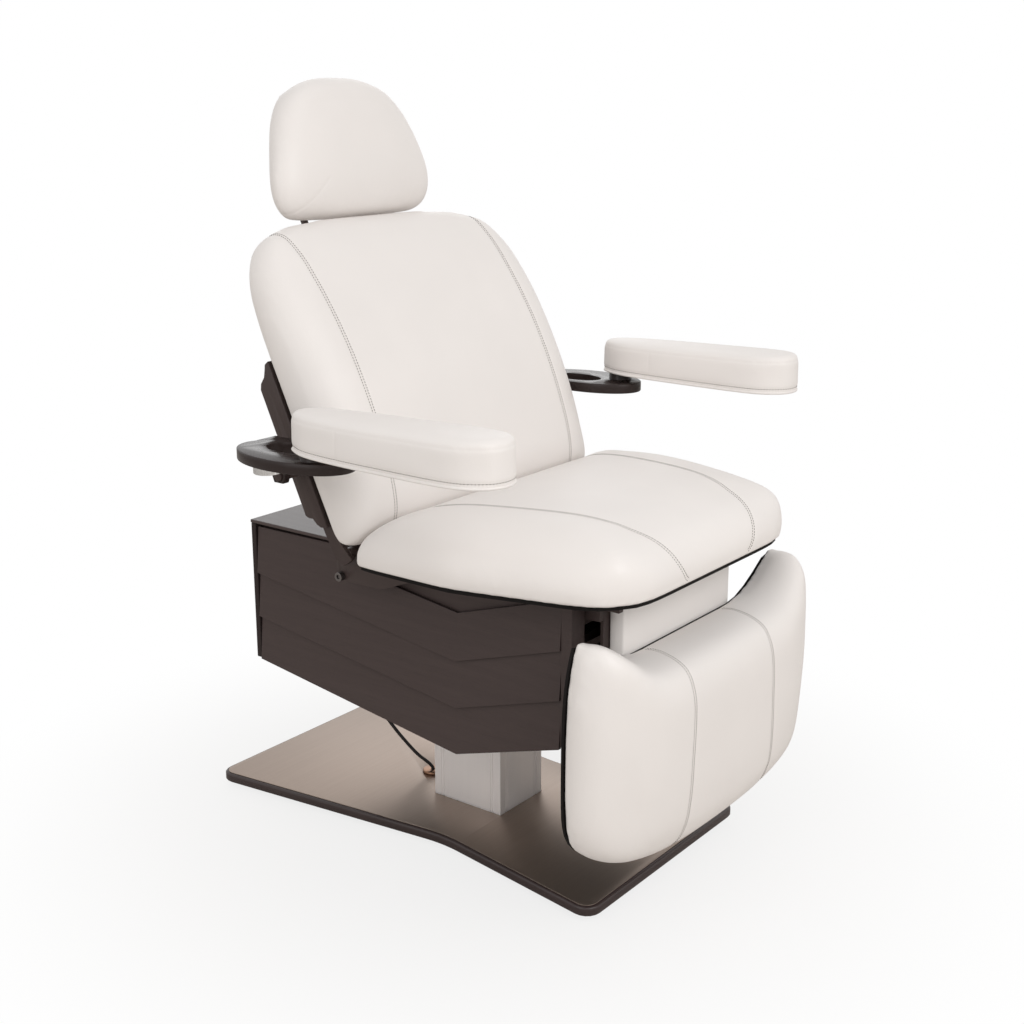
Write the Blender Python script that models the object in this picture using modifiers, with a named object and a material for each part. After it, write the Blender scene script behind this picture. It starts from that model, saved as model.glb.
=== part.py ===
"""Treatment chair on a lifting column: seat, reclining back, lifting leg rest, level arms and headrest.

Metres, +Z up, the sitter faces -Y and the sitter's left is +X. Heights are above the floor and the
depth (y) of each fixed piece is measured from the column's axis.
"""

import math

import bmesh
import bpy
from mathutils import Matrix, Vector

for old in list(bpy.data.objects):
    bpy.data.objects.remove(old, do_unlink=True)

# Driving sizes
COLUMN_Y = 0.02095
GAP = 0.0003
SEAT_HALF = 0.371
SEAT_FRONT = -0.510
SEAT_REAR = 0.009
SEAT_LINE = 0.6030
SEAT_CREST = 0.1117
CABINET_HALF = 0.252
CABINET_REAR = 0.388
CABINET_FRONT = -0.354
CABINET_TOP = 0.598
LOUVRE_PITCH = 0.090
CHEVRON_DROP = 0.071
CHEVRON_Y = -0.126
RECLINE_Y = 0.075
RECLINE_Z = 0.600
RECLINE_LEAN = math.radians(25.0)
BACK_HALF = 0.3625
BACK_LENGTH = 0.602
BACK_CROWN = 0.127
LEG_HINGE_Y = -0.428
LEG_HINGE_Z = 0.580
FOOT_HALF = 0.365
FOOT_BOTTOM = 0.131
FOOT_CROWN = 0.1155
ARM_X = 0.462
ARM_PLATE_TOP = 0.814
PAD_LENGTH = 0.444
PAD_HEIGHT = 0.073
HEAD_LENGTH = 0.269
HEAD_HALF = 0.231
HEAD_CROWN = 0.090
BASE_HALF = 0.263
BASE_WAIST = 0.200
BASE_FRONT = -0.427
BASE_REAR = 0.512
FOOT_HEIGHT = 0.012
BASE_THICK = 0.0188
COLUMN_HALF_X = 0.068
COLUMN_HALF_Y = 0.083
COLUMN_WALL = 0.006
LEVER = 0.085
RECLINE_SWING = math.radians(58.0)
LEG_LEVER = 0.080
LEG_SWING = math.radians(88.0)
ROD_X = CABINET_HALF - 0.135
SEAM_DIP = 0.003
CORNER_STEP = 0.006
SIDES = (("left", 1.0), ("right", -1.0))

# Collections: one for the object, one for the shapes that cut or join
CHAIR = bpy.data.collections.new("treatment_chair")
CUTTERS = bpy.data.collections.new("treatment_chair_cutters")
bpy.context.scene.collection.children.link(CHAIR)
bpy.context.scene.collection.children.link(CUTTERS)

COLOURS = {
    "white_vinyl": ((0.83, 0.81, 0.78), 0.0, 0.45),
    "black_board": ((0.02, 0.02, 0.02), 0.0, 0.55),
    "espresso_wood": ((0.055, 0.042, 0.038), 0.0, 0.5),
    "dark_metal": ((0.03, 0.026, 0.025), 0.3, 0.4),
    "bronze_sheet": ((0.30, 0.26, 0.23), 0.9, 0.35),
    "silver": ((0.72, 0.72, 0.73), 1.0, 0.3),
    "steel": ((0.45, 0.45, 0.46), 1.0, 0.4),
    "black_rubber": ((0.015, 0.015, 0.015), 0.0, 0.6),
    "copper_gland": ((0.32, 0.17, 0.09), 0.6, 0.4),
}


def material(name):
    """The named surface, made the first time that a piece asks for it."""
    found = bpy.data.materials.get(name)
    if found:
        return found
    colour, metallic, roughness = COLOURS[name]
    found = bpy.data.materials.new(name)
    found.use_nodes = True
    shader = found.node_tree.nodes["Principled BSDF"]
    shader.inputs["Base Color"].default_value = (*colour, 1.0)
    shader.inputs["Metallic"].default_value = metallic
    shader.inputs["Roughness"].default_value = roughness
    return found


class Body:
    """A rigid body: an empty on its joint's axis, and the frame that its pieces are drawn in."""

    def __init__(self, name, origin=(0.0, 0.0, 0.0), lean=0.0):
        self.origin = Vector(origin)
        self.empty = bpy.data.objects.new(name, None)
        self.empty.location = self.origin + Vector((0.0, COLUMN_Y, 0.0))
        self.empty.rotation_euler = (-lean, 0.0, 0.0)
        self.leaning = lean != 0.0
        CHAIR.objects.link(self.empty)

    def local(self, point):
        """A leaning body is drawn in its own axes, every other one in the chair's."""
        return Vector(point) if self.leaning else Vector(point) - self.origin


def back_point(along, forward):
    """Chair (y, z) of a point on the back: along it from the recline axis, and forward of it."""
    y = RECLINE_Y + along * math.sin(RECLINE_LEAN) - forward * math.cos(RECLINE_LEAN)
    z = RECLINE_Z + along * math.cos(RECLINE_LEAN) + forward * math.sin(RECLINE_LEAN)
    return y, z


# Shape helpers
def make(name, bm, body, finish, bevel=0.0, helper=False):
    """Turns a bmesh into a named object on its body, with an optional softened edge."""
    bmesh.ops.recalc_face_normals(bm, faces=bm.faces)
    if bm.calc_volume(signed=True) < 0.0:
        bmesh.ops.reverse_faces(bm, faces=bm.faces)
    mesh = bpy.data.meshes.new(name)
    bm.to_mesh(mesh)
    bm.free()
    shape = bpy.data.objects.new(name, mesh)
    shape.parent = body.empty
    if helper:
        CUTTERS.objects.link(shape)
        shape.hide_render = True
        shape.display_type = "WIRE"
    else:
        CHAIR.objects.link(shape)
        mesh.materials.append(material(finish))
    if bevel:
        soften = shape.modifiers.new("softened_edge", "BEVEL")
        soften.width = bevel
        soften.segments = 2
        soften.limit_method = "ANGLE"
        soften.angle_limit = math.radians(50.0)
    return shape


def prism(name, outline, low, high, axis, body, finish="steel", bevel=0.0, helper=False):
    """A flat outline pushed along one axis: (y, z) along X, (x, z) along Y or (x, y) along Z."""
    bm = bmesh.new()
    rings = []
    for level in (min(low, high), max(low, high)):
        ring = []
        for first, second in outline:
            place = {"X": (level, first, second), "Y": (first, level, second), "Z": (first, second, level)}
            ring.append(bm.verts.new(body.local(place[axis])))
        rings.append(ring)
    bm.faces.new(rings[0])
    bm.faces.new(rings[1])
    for index in range(len(outline)):
        after = (index + 1) % len(outline)
        bm.faces.new((rings[0][index], rings[0][after], rings[1][after], rings[1][index]))
    return make(name, bm, body, finish, bevel, helper)


def block(name, low, high, body, finish="steel", bevel=0.0, helper=False):
    """A box between two corners."""
    outline = [(low[0], low[1]), (high[0], low[1]), (high[0], high[1]), (low[0], high[1])]
    return prism(name, outline, low[2], high[2], "Z", body, finish, bevel, helper)


def disc(centre, radius, sides=20):
    """A round outline about a centre."""
    turns = [2.0 * math.pi * index / sides for index in range(sides)]
    return [(centre[0] + radius * math.cos(turn), centre[1] + radius * math.sin(turn)) for turn in turns]


def oval(centre, half_a, half_b, sides=64):
    """An elliptical outline about a centre."""
    turns = [2.0 * math.pi * index / sides for index in range(sides)]
    return [(centre[0] + half_a * math.cos(turn), centre[1] + half_b * math.sin(turn)) for turn in turns]


def rounded(corners, radii, steps=5):
    """An outline whose corners are turned to arcs."""
    outline = []
    for index, corner in enumerate(corners):
        here = Vector(corner)
        to_last = Vector(corners[index - 1]) - here
        to_next = Vector(corners[(index + 1) % len(corners)]) - here
        half = to_last.angle(to_next) / 2.0
        back = radii[index] / math.tan(half)
        start = here + to_last.normalized() * back
        end = here + to_next.normalized() * back
        centre = here + (to_last.normalized() + to_next.normalized()).normalized() * radii[index] / math.sin(
            half
        )
        first = start - centre
        sweep = first.angle_signed(end - centre)
        for step in range(steps + 1):
            turned = first.copy()
            turned.rotate(Matrix.Rotation(-sweep * step / steps, 2))
            outline.append(tuple(centre + turned))
    return outline


def boolean(shape, others, operation):
    """Joins shapes to one piece, or cuts them from it."""
    for other in others:
        step = shape.modifiers.new(operation.lower(), "BOOLEAN")
        step.operation = operation
        step.solver = "EXACT"
        step.object = other
    return shape


def join(shape, *others):
    return boolean(shape, others, "UNION")


def cut(shape, *others):
    return boolean(shape, others, "DIFFERENCE")


def pipe(name, route, radius, body, finish, sides=3):
    """A round cord or rod along a smooth route, with closed ends."""
    curve = bpy.data.curves.new(name, "CURVE")
    curve.dimensions = "3D"
    curve.bevel_depth = radius
    curve.bevel_resolution = sides - 1
    curve.use_fill_caps = True
    curve.resolution_u = 3
    spline = curve.splines.new("BEZIER")
    spline.bezier_points.add(len(route) - 1)
    for knot, place in zip(spline.bezier_points, route):
        knot.co = body.local(place)
        knot.handle_left_type = "AUTO"
        knot.handle_right_type = "AUTO"
    curve.materials.append(material(finish))
    shape = bpy.data.objects.new(name, curve)
    shape.parent = body.empty
    CHAIR.objects.link(shape)
    return shape


# Cushions: a grid of (reach, lift, dip) columns and rows, closed by a flat back
def across(roll, seam, inner):
    """Symmetric columns: an edge roll, a seam with its dip, and plain columns towards the middle."""
    half = [(reach, lift, 0.0) for reach, lift in roll]
    half += [(seam + 0.03, 1.0, 0.0), (seam, 1.0, SEAM_DIP), (seam - 0.03, 1.0, 0.0)]
    half += [(reach, 1.0, 0.0) for reach in inner]
    return mirrored(half)


def mirrored(half):
    """A half list from the edge to the middle, turned to a whole one with a middle entry."""
    return [(-reach, lift, dip) for reach, lift, dip in half] + [(0.0, 1.0, 0.0)] + half[::-1]


def ring_reach(side, lift):
    """How far out one side, listed from its edge, lies at a lift."""
    for (reach, height, _), (further, higher, _) in zip(side, side[1:]):
        if height <= lift <= higher and higher > height:
            return reach + (further - reach) * (lift - height) / (higher - height)
    return side[0][0]


def kept_inside(entries, lift):
    """Reaches of a symmetric list, drawn in so that none passes the corner of the ring at a lift."""
    middle = len(entries) // 2
    kept = [reach for reach, _, _ in entries]
    for order, sign in ((range(middle), -1.0), (range(len(entries) - 1, middle, -1), 1.0)):
        side = [(abs(entries[index][0]), *entries[index][1:]) for index in order]
        last = ring_reach(side, lift) + CORNER_STEP
        for index, (reach, height, _) in zip(order, side):
            if height >= lift:
                last = min(reach, last - CORNER_STEP)
                kept[index] = sign * last
    return kept


def cushion(name, body, columns, rows, surface, finish="white_vinyl"):
    """A pad over a grid; surface(column reach, row reach, lift, dip) gives each point."""
    bm = bmesh.new()
    grid = []
    drawn_rows = [kept_inside(rows, lift) for _, lift, _ in columns]
    for row, (row_reach, row_lift, row_dip) in enumerate(rows):
        line = []
        drawn_columns = kept_inside(columns, row_lift)
        for column, (reach, lift, dip) in enumerate(columns):
            shared = min(lift, row_lift)
            sunk = max(dip, row_dip) if shared > 0.3 else 0.0
            across_reach = reach if lift <= row_lift else drawn_columns[column]
            along_reach = drawn_rows[column][row] if lift <= row_lift else row_reach
            line.append(bm.verts.new(body.local(surface(across_reach, along_reach, shared, sunk))))
        grid.append(line)
    for lower, upper in zip(grid, grid[1:]):
        for index in range(len(columns) - 1):
            bm.faces.new((lower[index], lower[index + 1], upper[index + 1], upper[index]))
    rim = grid[0] + [line[-1] for line in grid[1:]]
    rim += grid[-1][-2::-1] + [line[0] for line in grid[-2:0:-1]]
    bm.faces.new(rim)
    return make(name, bm, body, finish)


def shift_seam(reach, at, to):
    """Slides the columns so that the seam drawn at one reach runs at another."""
    size = abs(reach)
    if size <= at:
        moved = size * to / at
    elif size < 1.0:
        moved = to + (size - at) * (1.0 - to) / (1.0 - at)
    else:
        moved = size
    return math.copysign(moved, reach)


# Bodies
BASE = Body("base_body")
LIFT = Body("lift_body", (0.0, 0.0, FOOT_HEIGHT))
BACK = Body("back_body", (0.0, RECLINE_Y, RECLINE_Z), RECLINE_LEAN)
HEAD_SLIDE = Body("headrest_slide_body", (0.0, RECLINE_Y, RECLINE_Z), RECLINE_LEAN)
HEAD_TILT_Y = 0.029
HEAD_TILT_Z = 0.735
HEAD_BEHIND = 0.020
TILT_AXIS = (0.0, *back_point(HEAD_TILT_Z, -HEAD_BEHIND))
HEAD_NOD = math.radians(9.0)
HEAD = Body("headrest_body", TILT_AXIS, RECLINE_LEAN - HEAD_NOD)
LEG = Body("leg_body", (0.0, LEG_HINGE_Y, LEG_HINGE_Z))
BACK_ROD = Body("back_rod_body", (0.0, 0.0, RECLINE_Z))
LEG_ROD = Body("leg_rod_body", (0.0, 0.0, LEG_HINGE_Z))
ARM_ALONG = 0.170
ARM_BEHIND = 0.0245
ARM_AXIS = back_point(ARM_ALONG, -ARM_BEHIND)
ARM_LEVEL = {side: Body(f"arm_level_{side}_body", (0.0, *ARM_AXIS)) for side, _ in SIDES}
ARM_PAD = {side: Body(f"arm_pad_{side}_body", (sign * ARM_X, 0.0, ARM_PLATE_TOP)) for side, sign in SIDES}
KNOB_X = ARM_X + 0.018
KNOB_Y = 0.095
ARM_KNOB = {
    side: Body(f"arm_knob_{side}_body", (sign * KNOB_X, KNOB_Y, ARM_PLATE_TOP)) for side, sign in SIDES
}

# Base: plate, top sheet, feet, column and cord gland
BASE_TOP = FOOT_HEIGHT + BASE_THICK
SHEET_THICK = 0.0015
SHEET_TOP = BASE_TOP + GAP + SHEET_THICK
WAIST_Y = -0.045
GLAND = (0.006, 0.150)
GLAND_RADIUS = 0.022
CORD_RADIUS = 0.0035


def base_outline(inset):
    half = BASE_HALF - inset
    waist = BASE_WAIST - inset
    front = BASE_FRONT + inset
    rear = BASE_REAR - inset
    corners = [
        (-half, front), (half, front), (waist, WAIST_Y), (half, rear), (-half, rear), (-waist, WAIST_Y)
    ]
    return rounded(corners, [0.030 - inset, 0.030 - inset, 0.30, 0.030 - inset, 0.030 - inset, 0.30])


def build_base():
    prism("base_plate", base_outline(0.0), FOOT_HEIGHT, BASE_TOP, "Z", BASE, "dark_metal", 0.004)
    sheet = prism("base_sheet", base_outline(0.007), BASE_TOP + GAP, SHEET_TOP, "Z", BASE, "bronze_sheet")
    slot = 0.0012
    opening = block(
        "sheet_column_cut",
        (-COLUMN_HALF_X - slot, -COLUMN_HALF_Y - slot, BASE_TOP - 0.004),
        (COLUMN_HALF_X + slot, COLUMN_HALF_Y + slot, SHEET_TOP + 0.01),
        BASE,
        helper=True,
    )
    hole = prism(
        "sheet_gland_cut",
        disc(GLAND, GLAND_RADIUS + GAP),
        BASE_TOP - 0.004,
        SHEET_TOP + 0.01,
        "Z",
        BASE,
        helper=True,
    )
    cut(sheet, opening, hole)
    gland = prism(
        "cord_gland",
        disc(GLAND, GLAND_RADIUS),
        BASE_TOP + GAP,
        SHEET_TOP + 0.006,
        "Z",
        BASE,
        "copper_gland",
        0.002,
    )
    hole_edge = disc(GLAND, CORD_RADIUS + GAP, 16)
    bore = prism("gland_bore", hole_edge, BASE_TOP - 0.01, SHEET_TOP + 0.02, "Z", BASE, helper=True)
    cut(gland, bore)
    foot_spots = [(x, y) for x in (-1.0, 1.0) for y in (BASE_FRONT + 0.045, BASE_REAR - 0.045)]
    for number, (sign, y) in enumerate(foot_spots, 1):
        spot = (sign * (BASE_HALF - 0.045), y)
        prism(
            f"levelling_foot_{number}", disc(spot, 0.018), 0.0, FOOT_HEIGHT - GAP, "Z", BASE, "black_rubber"
        )


def column_outline(half_x, half_y, groove):
    """A rectangle with a shallow groove near each corner of every face."""
    inset = 0.024
    width = 0.0015
    outline = []
    corners = [(-half_x, -half_y), (half_x, -half_y), (half_x, half_y), (-half_x, half_y)]
    for index, corner in enumerate(corners):
        here = Vector(corner)
        there = Vector(corners[(index + 1) % 4])
        run = (there - here).normalized()
        inward = Vector((-run.y, run.x))
        outline.append(tuple(here))
        for spot in (inset, (there - here).length - inset):
            middle = here + run * spot
            outline += [
                tuple(middle - run * width), tuple(middle + inward * groove), tuple(middle + run * width)
            ]
    return outline


def frame_prism(name, half_x, half_y, wall, low, high, body, finish, groove):
    """A square tube, grooved outside when asked."""
    if groove:
        outline = column_outline(half_x, half_y, groove)
    else:
        outline = [(-half_x, -half_y), (half_x, -half_y), (half_x, half_y), (-half_x, half_y)]
    tube = prism(name, outline, low, high, "Z", body, finish)
    inner = block(
        f"{name}_bore",
        (-half_x + wall, -half_y + wall, low - 0.01),
        (half_x - wall, half_y - wall, high + 0.01),
        body,
        helper=True,
    )
    return cut(tube, inner)


COLUMN_TOP = 0.400
STAGE_PLAY = 0.007
STAGE_HALF_X = COLUMN_HALF_X - COLUMN_WALL - STAGE_PLAY
STAGE_HALF_Y = COLUMN_HALF_Y - COLUMN_WALL - STAGE_PLAY
STAGE_WALL = 0.005
STAGE_LOW = 0.086
HEAD_PLATE_LOW = 0.470
HEAD_PLATE_THICK = 0.010
CHASSIS_LOW = HEAD_PLATE_LOW + HEAD_PLATE_THICK + GAP
CHASSIS_HIGH = CHASSIS_LOW + 0.030
BAR_HEIGHT = 0.016
RAIL_OUT = CABINET_HALF - 0.052
RAIL_WIDE = 0.030


def build_column():
    frame_prism(
        "column_outer",
        COLUMN_HALF_X,
        COLUMN_HALF_Y,
        COLUMN_WALL,
        BASE_TOP + GAP,
        COLUMN_TOP,
        BASE,
        "silver",
        0.0018,
    )
    frame_prism(
        "column_guide",
        COLUMN_HALF_X - COLUMN_WALL - GAP,
        COLUMN_HALF_Y - COLUMN_WALL - GAP,
        STAGE_PLAY - 2.0 * GAP,
        COLUMN_TOP - 0.050,
        COLUMN_TOP - 0.001,
        BASE,
        "black_rubber",
        0.0,
    )
    frame_prism(
        "column_inner",
        STAGE_HALF_X,
        STAGE_HALF_Y,
        STAGE_WALL,
        STAGE_LOW,
        HEAD_PLATE_LOW - GAP,
        LIFT,
        "silver",
        0.0,
    )
    block(
        "column_head_plate",
        (-RAIL_OUT, -0.130, HEAD_PLATE_LOW),
        (RAIL_OUT, 0.130, HEAD_PLATE_LOW + HEAD_PLATE_THICK),
        LIFT,
        "dark_metal",
    )
    motor = block("lift_motor", (-0.038, -0.048, BASE_TOP + GAP), (0.038, 0.048, 0.135), BASE, "steel")
    spindle = prism("lift_spindle", disc((0.0, 0.0), 0.011, 12), 0.120, 0.360, "Z", BASE, helper=True)
    join(motor, spindle)


# Cabinet: side panels, leaning boards, rear, top and front
def chevron(y, rear, low):
    """Height of a board line: straight down from each end to the point of the V."""
    if y >= CHEVRON_Y:
        share = (y - CHEVRON_Y) / (CABINET_REAR - CHEVRON_Y)
    else:
        share = (CHEVRON_Y - y) / (CHEVRON_Y - CABINET_FRONT)
    return low + (rear - low) * share


PANEL_OUT = CABINET_HALF - 0.012
PANEL_THICK = 0.006
BOARD_TOP = 0.583
BOARD_THICK = 0.007
BOARD_LEAN = 0.008
REAR_THICK = 0.012
BOARD_REAR = CABINET_REAR - REAR_THICK - 0.0025
TOP_THICK = 0.0065
TOP_FRONT = 0.165
PANEL_HIGH = CABINET_TOP - 0.0132 - GAP
CONTROL_LOW = 0.345


def build_cabinet():
    for side, sign in SIDES:
        low = BOARD_TOP - 3.0 * LOUVRE_PITCH + 0.012
        panel_rear = CABINET_REAR - REAR_THICK - GAP
        outline = [
            (panel_rear, PANEL_HIGH),
            (0.030, PANEL_HIGH),
            (CABINET_FRONT + 0.002, PANEL_HIGH),
            (CABINET_FRONT + 0.002, low),
            (CHEVRON_Y, low - CHEVRON_DROP),
            (panel_rear, low),
        ]
        prism(
            f"cabinet_panel_{side}",
            outline,
            sign * (PANEL_OUT - PANEL_THICK),
            sign * PANEL_OUT,
            "X",
            LIFT,
            "espresso_wood",
        )
        leaning_board(f"louvre_{side}_1", sign, BOARD_TOP, PANEL_HIGH)
        for number in (1, 2):
            leaning_board(f"louvre_{side}_{number + 1}", sign, BOARD_TOP - number * LOUVRE_PITCH)
    block(
        "cabinet_rear_panel",
        (-CABINET_HALF, CABINET_REAR - REAR_THICK, BOARD_TOP - 3.0 * LOUVRE_PITCH),
        (CABINET_HALF, CABINET_REAR, CABINET_TOP - TOP_THICK - GAP),
        LIFT,
        "espresso_wood",
        0.0012,
    )
    block(
        "cabinet_top_panel",
        (-CABINET_HALF - 0.001, TOP_FRONT, CABINET_TOP - TOP_THICK),
        (CABINET_HALF + 0.001, CABINET_REAR + 0.001, CABINET_TOP),
        LIFT,
        "espresso_wood",
        0.0015,
    )
    front = block(
        "cabinet_front_panel",
        (-CABINET_HALF + 0.004, CABINET_FRONT - 0.012, 0.320),
        (CABINET_HALF - 0.004, CABINET_FRONT, 0.475),
        LIFT,
        "espresso_wood",
    )
    for side, sign in SIDES:
        low_x, high_x = sorted((sign * (CABINET_HALF - 0.0375), sign * CABINET_HALF))
        post = block(
            f"front_post_{side}",
            (low_x, CABINET_FRONT - 0.022, 0.318),
            (high_x, CABINET_FRONT - 0.0005, 0.580),
            LIFT,
            helper=True,
        )
        join(front, post)
    box_rear = CABINET_REAR - REAR_THICK - GAP
    block(
        "control_box",
        (-0.150, box_rear - 0.120, CONTROL_LOW),
        (0.030, box_rear, 0.455),
        LIFT,
        "black_board",
        0.003,
    )


def leaning_board(name, sign, top, cap=None):
    """One chevron board of the cabinet's side, leaning out at its lower edge.

    With a cap, its upper edge reaches that height under the top panel.
    """
    bm = bmesh.new()
    rings = []
    inner = PANEL_OUT + GAP
    stations = [BOARD_REAR, CHEVRON_Y, CABINET_FRONT + 0.0003]
    if cap:
        stations[1:1] = [TOP_FRONT + 0.003, TOP_FRONT]
    for y in stations:
        line = chevron(y, top, top - CHEVRON_DROP)
        low = line - LOUVRE_PITCH + 0.001
        high = cap if cap and y > TOP_FRONT else line
        lean_in = BOARD_LEAN * (high - line) / (line - low)
        section = [
            (inner, high),
            (inner + BOARD_THICK - lean_in, high),
            (inner + BOARD_THICK + BOARD_LEAN, low),
            (inner + BOARD_LEAN, low),
        ]
        rings.append([bm.verts.new(LIFT.local((sign * x, y, z))) for x, z in section])
    for first, second in zip(rings, rings[1:]):
        for index in range(4):
            after = (index + 1) % 4
            bm.faces.new((first[index], first[after], second[after], second[index]))
    bm.faces.new(rings[0])
    bm.faces.new(rings[-1])
    make(name, bm, LIFT, "espresso_wood")


# Frames under the seat
SEAT_BOARD_THICK = 0.0065
SEAT_BOARD_LOW = SEAT_LINE - SEAT_BOARD_THICK
CHEEK_IN = CABINET_HALF + 0.029
CHEEK_OUT = CHEEK_IN + 0.008
TUBE_RADIUS = 0.011
BRACKET_IN = RAIL_OUT - 0.002


def build_chassis():
    """Two rails, four cross bars and a bracket out to the cabinet's side at each corner."""
    rail_in = RAIL_OUT - RAIL_WIDE
    frame = block(
        "chassis_frame",
        (-RAIL_OUT, -0.346, CHASSIS_LOW),
        (-rail_in, 0.366, CHASSIS_HIGH),
        LIFT,
        "dark_metal",
    )
    joined = [
        block(
            "chassis_left",
            (rail_in, -0.346, CHASSIS_LOW),
            (RAIL_OUT, 0.366, CHASSIS_HIGH),
            LIFT,
            helper=True,
        ),
    ]
    bar_top = CHASSIS_LOW + BAR_HEIGHT
    for number, (start, end) in enumerate(
        ((-0.345, -0.315), (-0.235, -0.195), (0.065, 0.105), (0.335, 0.365))
    ):
        bar = (-rail_in - 0.002, start, CHASSIS_LOW), (rail_in + 0.002, end, bar_top)
        joined.append(block(f"chassis_bar_{number}", *bar, LIFT, helper=True))
    reach = PANEL_OUT - PANEL_THICK - GAP
    for side, sign in SIDES:
        for start in (-0.200, 0.280):
            low_x, high_x = sorted((sign * (RAIL_OUT - 0.008), sign * reach))
            bracket = (low_x, start, CHASSIS_LOW + 0.002), (high_x, start + 0.030, bar_top)
            joined.append(block(f"cabinet_bracket_{side}_{start}", *bracket, LIFT, helper=True))
    join(frame, *joined)


def build_seat_frame():
    top = SEAT_BOARD_LOW - GAP
    inner = RAIL_OUT + GAP
    frame = block("seat_frame", (inner, -0.405, 0.545), (inner + 0.012, 0.030, top), LIFT, "dark_metal")
    other = block(
        "seat_frame_right", (-inner - 0.012, -0.405, 0.545), (-inner, 0.030, top), LIFT, helper=True
    )
    front = block(
        "seat_bar_front", (-inner - 0.006, -0.384, 0.560), (inner + 0.006, -0.356, top), LIFT, helper=True
    )
    rear = block(
        "seat_bar_rear", (-inner - 0.006, -0.010, 0.570), (inner + 0.006, 0.020, top), LIFT, helper=True
    )
    joined = [other, front, rear]
    for side, sign in SIDES:
        for depth in (-0.300, -0.060):
            foot = block(
                f"seat_riser_{side}_{depth}",
                (min(sign * inner, sign * (inner + 0.012)), depth - 0.030, CHASSIS_LOW),
                (max(sign * inner, sign * (inner + 0.012)), depth + 0.030, 0.560),
                LIFT,
                helper=True,
            )
            joined.append(foot)
        ear = [(LEG_HINGE_Y - 0.014, LEG_HINGE_Z - 0.013), (LEG_HINGE_Y + 0.040, LEG_HINGE_Z - 0.013)]
        ear += [(LEG_HINGE_Y + 0.040, top), (LEG_HINGE_Y - 0.014, top)]
        low = sign * BRACKET_IN
        joined.append(prism(f"leg_ear_{side}", ear, low, low + sign * 0.0120, "X", LIFT, helper=True))
    join(frame, *joined)
    bore = prism(
        "leg_shaft_bore",
        disc((LEG_HINGE_Y, LEG_HINGE_Z), 0.0063, 14),
        -CABINET_HALF,
        CABINET_HALF,
        "X",
        LIFT,
        helper=True,
    )
    cut(frame, bore)
    shaft = disc((LEG_HINGE_Y, LEG_HINGE_Z), 0.0060, 14)
    prism("leg_shaft", shaft, -BRACKET_IN - 0.016, BRACKET_IN + 0.016, "X", LIFT, "silver")


def cheek_outline():
    """Side plate of the recline hinge, round at the rear and swept up under the seat."""
    lower = [
        (-0.130, SEAT_BOARD_LOW - 0.008), (-0.048, 0.563), (-0.020, 0.552), (0.007, 0.541), (0.026, 0.537)
    ]
    rear = [(0.096, 0.537), (0.112, 0.541), (0.122, 0.551), (0.126, 0.566), (0.122, 0.586), (0.112, 0.600)]
    top = [(0.0985, 0.6085), (0.0905, 0.6140), (0.0830, 0.6195), (0.0740, 0.6212), (0.0620, 0.6200)]
    top += [(0.0520, 0.6160), (0.0400, 0.6040)]
    return lower + rear + top + [(0.036, SEAT_BOARD_LOW - GAP), (-0.130, SEAT_BOARD_LOW - GAP)]


def build_cheeks():
    bolt_at = (0.112, 0.5455)
    for side, sign in SIDES:
        cheek = prism(
            f"recline_cheek_{side}",
            cheek_outline(),
            sign * CHEEK_IN,
            sign * CHEEK_OUT,
            "X",
            LIFT,
            "dark_metal",
        )
        inner = RAIL_OUT + 0.020
        flange = block(
            f"cheek_flange_{side}",
            (min(sign * inner, sign * (CHEEK_IN + 0.004)), -0.128, SEAT_BOARD_LOW - GAP - 0.006),
            (max(sign * inner, sign * (CHEEK_IN + 0.004)), 0.010, SEAT_BOARD_LOW - GAP),
            LIFT,
            helper=True,
        )
        join(cheek, flange)
        pivot = disc((RECLINE_Y, RECLINE_Z), TUBE_RADIUS + GAP, 18)
        bolt_hole = disc(bolt_at, 0.0053, 12)
        pivot_cut = prism(
            f"cheek_pivot_cut_{side}",
            pivot,
            sign * (CHEEK_IN - 0.02),
            sign * (CHEEK_OUT + 0.03),
            "X",
            LIFT,
            helper=True,
        )
        bolt_cut = prism(
            f"cheek_bolt_cut_{side}",
            bolt_hole,
            sign * (CHEEK_IN - 0.02),
            sign * (CHEEK_OUT + 0.03),
            "X",
            LIFT,
            helper=True,
        )
        cut(cheek, pivot_cut, bolt_cut)
        bolt = prism(
            f"cheek_bolt_{side}",
            disc(bolt_at, 0.0085),
            sign * (CHEEK_OUT + GAP),
            sign * (CHEEK_OUT + 0.011),
            "X",
            LIFT,
            "silver",
        )
        shank = prism(
            f"cheek_shank_{side}",
            disc(bolt_at, 0.0050, 12),
            sign * (CHEEK_IN - 0.008),
            sign * (CHEEK_OUT + 0.004),
            "X",
            LIFT,
            helper=True,
        )
        socket = prism(
            f"cheek_socket_{side}",
            disc(bolt_at, 0.0038, 6),
            sign * (CHEEK_OUT + 0.006),
            sign * (CHEEK_OUT + 0.03),
            "X",
            LIFT,
            helper=True,
        )
        join(bolt, shank)
        cut(bolt, socket)


# Seat
def seat_half(row):
    """The seat narrows from its middle to its front."""
    return SEAT_HALF - 0.058 * max(0.0, 0.185 - row)


def seat_plan(reach, row, inset=0.0):
    half_depth = (SEAT_REAR - SEAT_FRONT) / 2.0
    corner = 0.10 if row < 0.0 else 0.014
    x = (seat_half(row) - inset) * reach * (1.0 - corner * min(1.0, abs(row)) ** 10)
    y = (half_depth - inset) * row * (1.0 - corner * min(1.0, abs(reach)) ** 10)
    return x, (SEAT_FRONT + SEAT_REAR) / 2.0 + y


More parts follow.
